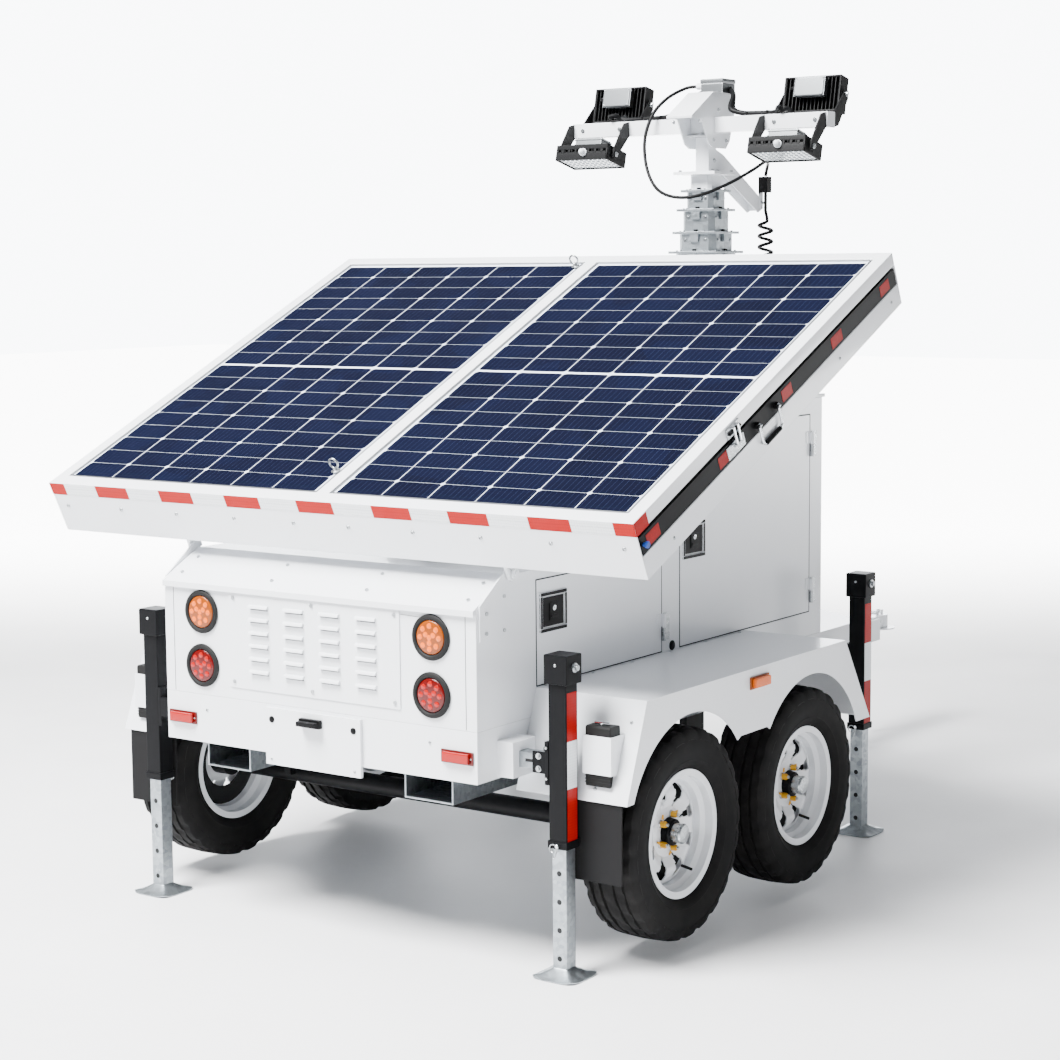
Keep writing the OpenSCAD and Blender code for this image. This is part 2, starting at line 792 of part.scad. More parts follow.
module handle_bar() {
    x = rail_face + 9;
    for (v = handle_v)
        translate([x, v, handle_n]) rotate([-90, 0, 0]) difference() {
            union() {
                block([-4, 0, -5], [4, handle_drop - 4, 5]);
                translate([0, 0, -5]) cylinder(r = 8, h = 10);
            }
            translate([0, 0, -6]) cylinder(r = 3 + pin_gap, h = 12);
        }
    translate([x, handle_v[0] - 5, handle_n - handle_drop]) rotate([-90, 0, 0])
        cylinder(r = 7, h = handle_v[1] - handle_v[0] + 10);
}

module drawer_handle(side) color("gray") in_array() mirror([side < 0 ? 1 : 0, 0, 0]) handle_bar();

module handle_mounts() {
    for (v = handle_v)
        translate([0, v, handle_n]) {
            for (s = [-12, 6])
                block([rail_face - 2 - eps, s, -6], [rail_face + 9, s + 6, 6]);
            translate([rail_face + 9, -12, 0]) rotate([-90, 0, 0]) cylinder(r = 3, h = 24);
        }
}

module drawer_with_mounts(side) {
    drawer(side);
    color("gray") in_array() mirror([side < 0 ? 1 : 0, 0, 0]) handle_mounts();
}

// ---- Array struts ----

module at_strut() {
    place() translate([0, strut_base[0], strut_base[1]]) rotate([strut_angle - 90, 0, 0]) children();
}

module strut_barrels() color("dimgray") at_strut() sides() translate([strut_x, 0, 0]) difference() {
    union() {
        translate([0, 0, 25]) cylinder(r = 22, h = 367);
        block([-8, -12, 0], [8, 12, 26]);
        pin_x(14, -8, 8);
    }
    translate([-9, 0, 0]) pin_x(8 + pin_gap, 0, 18);
    translate([0, 0, 30]) cylinder(r = 12 + pin_gap, h = 400);
}

module strut_rods() color("silver") at_strut() sides() translate([strut_x, 0, 0]) difference() {
    union() {
        translate([0, 0, 60]) cylinder(r = 12, h = strut_len - 78);
        translate([0, 0, strut_len]) pin_x(22, -9, 9);
    }
    translate([-10, 0, strut_len]) pin_x(14, 0, 20);
}

// ---- Mast ----

module mast_profile(side, wall) {
    c = side * 0.14;
    h = side / 2;
    polygon([[h, h - c], [h - c, h], [-h + c, h], [-h, h - c], [-h, -h + c], [-h + c, -h], [h - c, -h], [h, -h + c]]);
}

module mast_ring(outer, inner, z, h) {
    translate([0, 0, z]) linear_extrude(h) difference() {
        square(outer, center = true);
        mast_profile(inner, 0);
    }
}

module mast_tube(k, z0) {
    side = mast_side(k);
    translate([0, 0, z0]) linear_extrude(mast_tops[k] - z0) difference() {
        mast_profile(side, 0);
        mast_profile(side - 2 * mast_wall, 0);
    }
    mast_ring(side + 26, side - mast_step + 1, mast_tops[k] - collar_t, collar_t);
}

module mast_section_1() color("silver") place() translate([0, mast_y, 0]) {
    mast_tube(0, mast_foot);
    translate([0, 0, (deck_z + mast_foot) / 2]) cube([300, 300, mast_foot - deck_z], center = true);
    for (z = [1000, 1600])
        block([-60, body_len - mast_y + slack, z], [60, -mast_s / 2 + 1, z + 80]);
}

module mast_section(k) color("silver") place() translate([0, mast_y, 0]) {
    mast_tube(k, mast_foot + 1);
}

module arm_plate(x) {
    across(x, x + arm_gap) polygon([[top_tube_s / 2 - 2, 2570], [top_tube_s / 2 - 2, 2645], [90, 2625],
        [415, 2448], [418, 2415], [380, 2398], [60, 2560]]);
}

module mast_top() color("white") place() translate([0, mast_y, 0]) {
    inner = mast_side(4);
    translate([0, 0, mast_foot + 1]) linear_extrude(plate_z - mast_foot) difference() {
        mast_profile(inner, 0);
        mast_profile(inner - 2 * mast_wall, 0);
    }
    translate([0, 0, plate_z + 6]) cube([190, 190, 12], center = true);
    post(top_tube_s, 4, plate_z + 10, tube_top_z - 80);
    difference() {
        translate([-top_tube_s / 2, -top_tube_s / 2, tube_top_z - 81]) cube([top_tube_s, top_tube_s, 81]);
        translate([0, 0, tube_top_z - 70]) cylinder(r = 22 + pin_gap, h = 80);
    }
    arm_plate(-top_tube_s / 2 + 2);
    arm_plate(top_tube_s / 2 - 8);
    block([-top_tube_s / 2 + 2, 375, 2405], [top_tube_s / 2 - 2, 381, 2440]);
    difference() {
        block([cord_x - 24, cord_y - mast_y - 18, cord_top_z], [cord_x + 18, cord_y - mast_y + 18, cord_top_z + clamp_h]);
        translate([cord_x, cord_y - mast_y, cord_top_z - 1]) cylinder(r = cable_r + 1, h = clamp_h + 2);
    }
    translate([cord_x, cord_y - mast_y, cord_top_z + slack]) cylinder(r = cable_r + 2, h = clamp_h - slack);
    block([cord_x - 23, cord_y - mast_y - 18, cord_top_z - 60], [cord_x - 15, cord_y - mast_y + 5, cord_top_z + 5]);
}

module head_plate(x) {
    across(x, x + arm_gap) polygon([[-206, 20], [-130, 20], [-75, -75], [-40, -92], [60, -92], [90, -60],
        [130, 60], [110, 130], [-40, 130], [-208, 28]]);
}

module yoke(flip) rotate([flip, 0, 0]) {
    for (x = [-lamp_w / 2 - 12, lamp_w / 2 + 6])
        difference() {
            across(x, x + 6) polygon([[-bar_s / 2, 28], [-bar_s / 2, -28], [-lamp_off[0] - 4, -lamp_off[1] - 22],
                [-lamp_off[0] - 20, -lamp_off[1] - 8], [-lamp_off[0] - 16, -lamp_off[1] + 20], [-70, 20]]);
            translate([x - 1, -lamp_off[0], -lamp_off[1]]) pin_x(6 + pin_gap, 0, 8);
        }
    block([-lamp_w / 2 - 12, -bar_s / 2 - 6, -28], [lamp_w / 2 + 12, -bar_s / 2, 28]);
}

module light_head() color("white") place() translate([0, mast_y, bar_z]) {
    head_plate(-head_w / 2 - arm_gap);
    head_plate(head_w / 2);
    across(-head_w / 2 - 1, head_w / 2 + 1)
        polygon([[-206, 20], [-200, 20], [-36, 126], [108, 126], [108, 130], [-40, 130], [-208, 28]]);
    block([-head_w / 2 - 1, -60, -46], [head_w / 2 + 1, 60, -40]);
    difference() {
        block([bar_x - bar_len / 2, -bar_s / 2, -bar_s / 2], [bar_x + bar_len / 2, bar_s / 2, bar_s / 2]);
        block([bar_x - bar_len / 2 + 6, -bar_s / 2 + 4, -bar_s / 2 + 4],
              [bar_x + bar_len / 2 - 6, bar_s / 2 - 4, bar_s / 2 - 4]);
    }
    translate([0, 0, tube_top_z - bar_z - 66]) cylinder(r = 22, h = 86);
    block([-50, 44, 129], [50, 144, 187]);
    translate([-80, 2530 - mast_y, 162]) pin_x(13, 0, 31);
    for (x = lamp_xs)
        translate([bar_x + x, 0, 0]) {
            yoke(0);
            yoke(180);
        }
}

module floodlight(x, back) color("dimgray") place()
    translate([bar_x + x, mast_y + (back ? 1 : -1) * lamp_off[0], bar_z + (back ? 1 : -1) * lamp_off[1]])
        rotate([back ? 90 - lamp_tilt_back : -lamp_tilt_front, 0, 0]) {
            near = back ? -75 : -50;
            block([-lamp_w / 2, near, -lamp_t / 2], [lamp_w / 2, near + lamp_d, lamp_t / 2]);
            block([-62, -20, lamp_t / 2 - 1], [72, 58, lamp_t / 2 + 38]);
            for (s = [-1, 1]) {
                pin_x(6, s > 0 ? lamp_w / 2 - 1 : -lamp_w / 2 - 16, s > 0 ? lamp_w / 2 + 16 : -lamp_w / 2 + 1);
                pin_x(12, s > 0 ? lamp_w / 2 + 12.5 : -lamp_w / 2 - 18, s > 0 ? lamp_w / 2 + 18 : -lamp_w / 2 - 12.5);
            }
        }

// ---- Cords ----

module cord_box() color("dimgray") place() {
    block([-20, 2800, deck_z + slack], [100, 2925, cord_foot_z - 40]);
    translate([cord_x, cord_y, cord_foot_z - 41]) cylinder(r = 26, h = 41 - slack);
}

module curly_cord() color("dimgray") place() translate([cord_x, cord_y, 0]) {
    translate([0, 0, cord_foot_z]) cylinder(r = cord_r, h = curl_top_z - cord_foot_z);
    translate([0, 0, curl_top_z - 1]) cylinder(r = cable_r, h = cord_top_z - curl_top_z + 1);
}

function catmull(a, b, c, d, t) = 0.5 * (2 * b + (c - a) * t + (2 * a - 5 * b + 4 * c - d) * t * t
    + (3 * b - a - 3 * c + d) * t * t * t);
function route_at(p, i) = p[max(0, min(len(p) - 1, i))];
function smooth(p, n) = [for (i = [0 : len(p) - 2]) for (k = [0 : n - 1])
    catmull(route_at(p, i - 1), p[i], p[i + 1], route_at(p, i + 2), k / n), p[len(p) - 1]];
function unit(v) = v / norm(v);
function ring_at(p, i, r, sides) = let (
    t = unit(route_at(p, i + 1) - route_at(p, i - 1)),
    side = unit(cross(t, [0.3, 0.9, 0.2])),
    up = cross(side, t))
    [for (k = [0 : sides - 1]) p[i] + r * (cos(360 * k / sides) * side + sin(360 * k / sides) * up)];

module swept(points, r, sides) {
    n = len(points);
    polyhedron(
        [for (i = [0 : n - 1]) each ring_at(points, i, r, sides)],
        [[for (k = [0 : sides - 1]) k],
         for (i = [0 : n - 2]) for (k = [0 : sides - 1])
            let (a = i * sides + k, b = i * sides + (k + 1) % sides) [a, a + sides, b + sides, b],
         [for (k = [sides - 1 : -1 : 0]) (n - 1) * sides + k]]);
}

module loop_cable() color("dimgray") place() swept(smooth(loop_route, 3), cable_r, 8);

underframe();
main_frame();
body_shell();
rear_cover();
rear_panels();
lamp_housings();
amber_lamps();
red_lamps();
fenders();
mud_flaps();
chock_holders();
wheel_chocks();
array_brackets();
door_hinges();
panel_screws();
axles();
coupler();
coupler_latch();
safety_chain();
mast_section_1();
battery_bank();
cord_box();
curly_cord();
array_tray();
array_top_frame();
solar_modules();
drawer_with_mounts(1);  // drawer_right
drawer_with_mounts(-1);  // drawer_left
drawer_handle(1);  // drawer_handle_right
drawer_handle(-1);  // drawer_handle_left
strut_barrels();
strut_rods();
lower_door_right();
tall_door_right();
tall_door_left();
latch(low_latch);  // latch_lower_right
latch(tall_latch);  // latch_tall_right
mirror([1, 0, 0]) latch(tall_latch);  // latch_tall_left
wheel(0, 1);  // wheel_rear_right
wheel(0, -1);  // wheel_rear_left
wheel(1, 1);  // wheel_front_right
wheel(1, -1);  // wheel_front_left
outrigger(jack_x, jack_y, 1);  // outrigger_rear_right
outrigger(jack_x, jack_y, -1);  // outrigger_rear_left
outrigger(front_jack_x, front_jack_y, 1);  // outrigger_front_right
outrigger(front_jack_x, front_jack_y, -1);  // outrigger_front_left
leg(jack_x, jack_y, 1);  // leg_rear_right
leg(jack_x, jack_y, -1);  // leg_rear_left
leg(front_jack_x, front_jack_y, 1);  // leg_front_right
leg(front_jack_x, front_jack_y, -1);  // leg_front_left
mast_section(1);  // mast_section_2
mast_section(2);  // mast_section_3
mast_section(3);  // mast_section_4
mast_top();
light_head();
floodlight(450, false);  // floodlight_rear_right
floodlight(-450, false);  // floodlight_rear_left
floodlight(450, true);  // floodlight_front_right
floodlight(-450, true);  // floodlight_front_left
loop_cable();
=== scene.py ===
"""Solar light tower trailer: the looks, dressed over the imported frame."""

import logging
import math
from dataclasses import dataclass
from enum import Enum
from typing import Callable, Iterable, Optional, Sequence

import bmesh
import bpy
from mathutils import Matrix, Vector


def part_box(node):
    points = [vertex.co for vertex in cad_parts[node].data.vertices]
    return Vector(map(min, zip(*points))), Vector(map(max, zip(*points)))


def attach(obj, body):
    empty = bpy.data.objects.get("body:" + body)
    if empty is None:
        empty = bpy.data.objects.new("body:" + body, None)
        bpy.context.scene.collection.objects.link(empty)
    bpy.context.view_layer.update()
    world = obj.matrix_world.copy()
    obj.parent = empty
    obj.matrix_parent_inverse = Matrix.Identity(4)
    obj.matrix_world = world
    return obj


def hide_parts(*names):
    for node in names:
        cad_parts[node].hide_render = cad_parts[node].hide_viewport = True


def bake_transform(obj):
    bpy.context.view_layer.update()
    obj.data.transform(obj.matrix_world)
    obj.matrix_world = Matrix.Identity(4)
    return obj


log = logging.getLogger("light_tower")
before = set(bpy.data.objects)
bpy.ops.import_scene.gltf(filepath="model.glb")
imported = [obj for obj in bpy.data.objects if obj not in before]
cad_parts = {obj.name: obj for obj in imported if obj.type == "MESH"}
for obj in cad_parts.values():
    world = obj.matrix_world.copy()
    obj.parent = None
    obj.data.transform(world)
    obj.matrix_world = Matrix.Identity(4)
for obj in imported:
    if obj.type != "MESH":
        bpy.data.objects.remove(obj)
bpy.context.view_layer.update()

# ---------------------------------------------------------------- places

REAR_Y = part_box("main_frame")[0][1]      # the frame's rear face
PIVOT_Y = 168.0
PIVOT_Z = 1245.0
TILT = math.radians(25.0)
MM = 0.001


def at(x: float, y: float, z: float) -> Vector:
    """Turn millimetres, with y measured forward of the rear face, into the row's metres.

    Args:
        x: distance right of the middle.
        y: distance forward of the rear face.
        z: height above the ground.

    Returns:
        The point in the row frame, in metres.
    """
    return Vector((x * MM, REAR_Y + y * MM, z * MM))


def frame_at(x: float, y: float, z: float, turn: Optional[Matrix] = None) -> Matrix:
    """Give a local frame in millimetres standing at a point, turned by turn."""
    return Matrix.Translation(at(x, y, z)) @ (turn or Matrix()) @ Matrix.Scale(MM, 4)


ROW = Matrix.Translation(Vector((0, REAR_Y, 0))) @ Matrix.Scale(MM, 4)
ARRAY = frame_at(0, PIVOT_Y, PIVOT_Z, Matrix.Rotation(TILT, 4, "X"))

# ---------------------------------------------------------------- finishes


class Pattern(Enum):
    """What a surface's fine detail is."""

    POWDER = "powder coat"
    SPANGLE = "hot-dip spangle"
    ZINC = "zinc plate"
    CAST = "die casting"
    RUBBER = "moulded rubber"
    TYRE = "tyre rubber"
    TAPE = "prismatic tape"
    CELL = "silicon cell"
    LENS = "moulded lens"
    BRUSHED = "brushed metal"
    FLOOR = "trowelled concrete"
    PLAIN = "moulded plastic"


@dataclass(frozen=True)
class Finish:
    """One real material and how its surface was made.

    Attributes:
        name: the material's name.
        colour: its base colour, sRGB hex.
        pattern: its fine detail.
        second: the colour that the pattern mixes in, sRGB hex.
        roughness: how far it scatters a reflection.
        metallic: 1 for bare metal.
        ior: index of refraction of what isn't metal.
        coat: share of a clear coat on top.
        scale_mm: size of the pattern's cells.
        relief_mm: height of the pattern's bumps.
        glow: strength of its own light.
        slot: the record's material slot that it belongs to.
    """

    name: str
    colour: str
    pattern: Pattern = Pattern.PLAIN
    second: str = ""
    roughness: float = 0.5
    metallic: float = 0.0
    ior: float = 1.5
    coat: float = 0.0
    scale_mm: float = 4.0
    relief_mm: float = 0.02
    glow: float = 0.0
    slot: str = "white_paint"


# Polyester powder coat on folded steel: bright white with a faint orange peel about 6 mm across.
WHITE = Finish("white_powder_coat", "#E9EBEE", Pattern.POWDER, "#DDE0E4", 0.24, ior=1.5, coat=0.35,
               scale_mm=6, relief_mm=0.025)
# Semi-gloss black powder coat on the jacks and brackets.
BLACK = Finish("black_powder_coat", "#0A0A0B", Pattern.POWDER, "#101113", 0.42, ior=1.17, scale_mm=5,
               relief_mm=0.03, slot="black_paint")
# Hot-dip galvanised steel: grey crystals 14 mm across, each catching the light its own way.
GALVANISED = Finish("hot_dip_galvanised_steel", "#A9AFB3", Pattern.SPANGLE, "#7C8388", 0.42, 1.0,
                    scale_mm=14, relief_mm=0.015, slot="galvanised")
# Bright zinc plate on bolts, hinges and chain.
ZINC = Finish("bright_zinc_plate", "#B9BCBE", Pattern.ZINC, "#8F9598", 0.3, 1.0, scale_mm=5,
              relief_mm=0.02, slot="zinc")
CHROME = Finish("chrome_plated_steel", "#D5D8DB", Pattern.BRUSHED, "#C5C9CD", 0.12, 1.0, scale_mm=2,
                relief_mm=0.002, slot="chrome")
# Aluminium die casting: fine pebble from the mould, lightly dulled.
CASTING = Finish("aluminium_die_casting", "#777A7C", Pattern.CAST, "#66696B", 0.45, 1.0, scale_mm=3,
                 relief_mm=0.05, slot="aluminium")
ANODISED = Finish("clear_anodised_aluminium", "#C9CCCF", Pattern.BRUSHED, "#B7BABE", 0.3, 1.0,
                  scale_mm=3, relief_mm=0.004, slot="aluminium")
# Black polyester paint on the floodlights' cast housings.
LAMP_BLACK = Finish("black_painted_casting", "#09090A", Pattern.CAST, "#101112", 0.45, ior=1.2, scale_mm=3,
                    relief_mm=0.05, slot="black_paint")
RUBBER = Finish("moulded_epdm_rubber", "#0B0B0B", Pattern.RUBBER, "#131313", 0.62, ior=1.3, scale_mm=3,
                relief_mm=0.06, slot="black_rubber")
FLAP = Finish("sheet_rubber", "#0C0C0D", Pattern.RUBBER, "#151516", 0.7, ior=1.25, scale_mm=8,
              relief_mm=0.08, slot="black_rubber")
CABLE = Finish("cable_rubber_sheath", "#09090A", Pattern.RUBBER, "#111213", 0.45, ior=1.2, scale_mm=2,
               relief_mm=0.02, slot="black_rubber")
TYRE = Finish("tyre_rubber", "#0E0E0F", Pattern.TYRE, "#191817", 0.75, ior=1.25, scale_mm=5,
              relief_mm=0.12, slot="tyre_rubber")
TAPE_WHITE = Finish("white_prismatic_tape", "#E3E6E8", Pattern.TAPE, "#C3C8CC", 0.35, coat=0.5,
                    scale_mm=9, relief_mm=0.05)
TAPE_RED = Finish("red_prismatic_tape", "#A00300", Pattern.TAPE, "#860200", 0.4, ior=1.2, coat=0.03,
                  scale_mm=9, relief_mm=0.05, slot="red_lens")
AMBER = Finish("amber_acrylic_lens", "#E86A00", Pattern.LENS, "#C84A00", 0.2, ior=1.35, coat=0.1,
               scale_mm=5, relief_mm=0.5, slot="amber_lens")
AMBER_DARK = Finish("amber_lens_edge", "#8E4200", Pattern.LENS, "#6F3000", 0.24, ior=1.35, coat=0.1,
                    scale_mm=5, relief_mm=0.4, slot="amber_lens")
RED = Finish("red_acrylic_lens", "#A40402", Pattern.LENS, "#7C0201", 0.2, ior=1.35, coat=0.1,
             scale_mm=5, relief_mm=0.5, slot="red_lens")
RED_DARK = Finish("red_lens_edge", "#5C0403", Pattern.LENS, "#430202", 0.24, ior=1.35, coat=0.1,
                  scale_mm=5, relief_mm=0.4, slot="red_lens")
# Monocrystalline cell: deep blue silicon behind coated glass, with hair-fine silver fingers.
CELL = Finish("monocrystalline_cell", "#080A17", Pattern.CELL, "#0A0D1D", 0.42, ior=1.05, scale_mm=10,
              slot="cell_glass")
BACKSHEET = Finish("white_module_backsheet", "#D2D8E2", Pattern.PLAIN, "#C6CDD9", 0.4, ior=1.15,
                   slot="cell_glass")
BUSBAR = Finish("tinned_copper_ribbon", "#2A3048", Pattern.PLAIN, "#242A40", 0.45, ior=1.1,
                slot="cell_glass")
ABS = Finish("black_moulded_abs", "#0A0A0B", Pattern.PLAIN, "#121213", 0.45, ior=1.18, scale_mm=2,
             relief_mm=0.03, slot="black_plastic")
LED_LENS = Finish("moulded_led_optic", "#B9BFC4", Pattern.LENS, "#8D959C", 0.16, ior=1.45, coat=0.4,
                  scale_mm=7, relief_mm=0.6, slot="aluminium")
DOME = Finish("white_polycarbonate", "#DADDE0", Pattern.PLAIN, "#CED2D6", 0.25, ior=1.58,
              slot="white_paint")
RED_PAINT = Finish("red_painted_shackle", "#B80A08", Pattern.POWDER, "#96120F", 0.35, scale_mm=5,
                   relief_mm=0.05, slot="red_lens")
YELLOW = Finish("yellow_nut_pointer", "#E0A000", Pattern.PLAIN, "#C48F14", 0.45, slot="amber_lens")
BLUE = Finish("blue_moulded_knob", "#0E3C9E", Pattern.PLAIN, "#173C7E", 0.4, slot="black_plastic")
SHADOW = Finish("deep_shadow_gap", "#050506", Pattern.PLAIN, "#080809", 0.8, slot="black_plastic")
FLOOR = Finish("trowelled_pale_floor", "#EDEDEE", Pattern.FLOOR, "#E2E2E3", 0.55, scale_mm=420,
               relief_mm=0.2)


def linear(code: str) -> tuple[float, float, float, float]:
    """Turn an sRGB hex code into the linear colour that a shader wants."""
    parts = [int(code[k:k + 2], 16) / 255 for k in (1, 3, 5)]
    low = [c / 12.92 if c <= 0.04045 else ((c + 0.055) / 1.055) ** 2.4 for c in parts]
    return (low[0], low[1], low[2], 1.0)


def add_node(tree: bpy.types.NodeTree, kind: str, inputs: Optional[dict] = None,
             **settings: object) -> bpy.types.Node:
    """Add a node with its settings, and fill or link its inputs.

    Args:
        tree: the material's node tree.
        kind: the node's type, without the word ShaderNode.
        inputs: value, or output socket to link, by input name or index.
        settings: the node's own properties.

    Returns:
        The new node.
    """
    made = tree.nodes.new("ShaderNode" + kind)
    for key, value in settings.items():
        setattr(made, key, value)
    for key, value in (inputs or {}).items():
        if isinstance(value, bpy.types.NodeSocket):
            tree.links.new(value, made.inputs[key])
        else:
            made.inputs[key].default_value = value
    return made


class Dresser:
    """Makes each finish's material once and hands it out."""

    def __init__(self) -> None:
        """Start with no materials."""
        self.made: dict[str, bpy.types.Material] = {}

    def material(self, finish: Finish) -> bpy.types.Material:
        """Give the material of a finish, making it on first use."""
        if finish.name not in self.made:
            self.made[finish.name] = self._make(finish)
        return self.made[finish.name]

    def _detail(self, tree: bpy.types.NodeTree, finish: Finish) -> tuple:
        """Make the pattern's colour factor and its height, as two sockets.

        Args:
            tree: the material's node tree.
            finish: the finish whose pattern it is.

        Returns:
            The mixing factor, the height, and the noise that roughness follows.
        """
        place = add_node(tree, "TexCoord").outputs["Object"]
        per = 1000.0 / finish.scale_mm
        wide = add_node(tree, "TexNoise", {"Vector": place, "Scale": 2.2, "Detail": 5.0,
                                           "Roughness": 0.6}).outputs["Fac"]
        fine = add_node(tree, "TexNoise", {"Vector": place, "Scale": per, "Detail": 3.0,
                                           "Roughness": 0.55}).outputs["Fac"]
        if finish.pattern in (Pattern.SPANGLE, Pattern.ZINC):
            cells = add_node(tree, "TexVoronoi", {"Vector": place, "Scale": per, "Randomness": 1.0})
            tone = add_node(tree, "SeparateColor", {"Color": cells.outputs["Color"]}).outputs["Red"]
            factor = add_node(tree, "Math", {0: tone, 1: wide}, operation="MULTIPLY").outputs[0]
            return factor, fine, tone
        if finish.pattern is Pattern.TAPE:
            cells = add_node(tree, "TexVoronoi", {"Vector": place, "Scale": per, "Randomness": 0.12},
                             feature="DISTANCE_TO_EDGE")
            edge = add_node(tree, "MapRange", {"Value": cells.outputs["Distance"], "From Min": 0.0,
                                               "From Max": 0.09, "To Min": 1.0, "To Max": 0.0})
            return edge.outputs["Result"], edge.outputs["Result"], fine
        if finish.pattern is Pattern.LENS:
            cells = add_node(tree, "TexVoronoi", {"Vector": place, "Scale": per, "Randomness": 0.1})
            return cells.outputs["Distance"], cells.outputs["Distance"], fine
        if finish.pattern is Pattern.CELL:
            tint = add_node(tree, "TexVoronoi", {"Vector": place, "Scale": 6.0, "Randomness": 1.0})
            tone = add_node(tree, "SeparateColor", {"Color": tint.outputs["Color"]}).outputs["Green"]
            return tone, fine, wide
        if finish.pattern is Pattern.BRUSHED:
            stretch = add_node(tree, "Mapping", {"Vector": place, "Scale": (per, per * 0.04, per)})
            lines = add_node(tree, "TexNoise", {"Vector": stretch.outputs["Vector"], "Scale": 1.0,
                                                "Detail": 2.0}).outputs["Fac"]
            return lines, lines, wide
        if finish.pattern is Pattern.TYRE:
            dust = add_node(tree, "TexNoise", {"Vector": place, "Scale": 9.0, "Detail": 6.0,
                                               "Roughness": 0.7}).outputs["Fac"]
            spread = add_node(tree, "MapRange", {"Value": dust, "From Min": 0.4, "From Max": 0.75})
            return spread.outputs["Result"], fine, wide
        return wide, fine, wide

    def _make(self, finish: Finish) -> bpy.types.Material:
        """Build the node tree of a finish.

        Args:
            finish: what to build.

        Returns:
            The new material.
        """
        made = bpy.data.materials.new(finish.name)
        made.use_nodes = True
        tree = made.node_tree
        shader = tree.nodes["Principled BSDF"]
        factor, height, rough = self._detail(tree, finish)
        mixed = add_node(tree, "Mix", {"Factor": factor}, data_type="RGBA")
        # The names repeat in a Mix node, so the colour sockets are found by type.
        sides = [s for s in mixed.inputs if s.type == "RGBA"]
        sides[0].default_value = linear(finish.colour)
        sides[1].default_value = linear(finish.second or finish.colour)
        result = [s for s in mixed.outputs if s.type == "RGBA"][0]
        tree.links.new(result, shader.inputs["Base Color"])
        spread = add_node(tree, "MapRange", {"Value": rough, "To Min": finish.roughness * 0.85,
                                             "To Max": min(1.0, finish.roughness * 1.2)})
        tree.links.new(spread.outputs["Result"], shader.inputs["Roughness"])
        bump = add_node(tree, "Bump", {"Height": height, "Strength": 0.6,
                                       "Distance": finish.relief_mm * MM})
        tree.links.new(bump.outputs["Normal"], shader.inputs["Normal"])
        shader.inputs["Metallic"].default_value = finish.metallic
        if not finish.metallic:
            shader.inputs["IOR"].default_value = finish.ior
        shader.inputs["Coat Weight"].default_value = finish.coat
        shader.inputs["Coat Roughness"].default_value = 0.06
        if finish.glow:
            shader.inputs["Emission Color"].default_value = linear(finish.colour)
            shader.inputs["Emission Strength"].default_value = finish.glow
        made.diffuse_color = linear(finish.colour)
        return made


DRESS = Dresser()

# ---------------------------------------------------------------- mesh maker


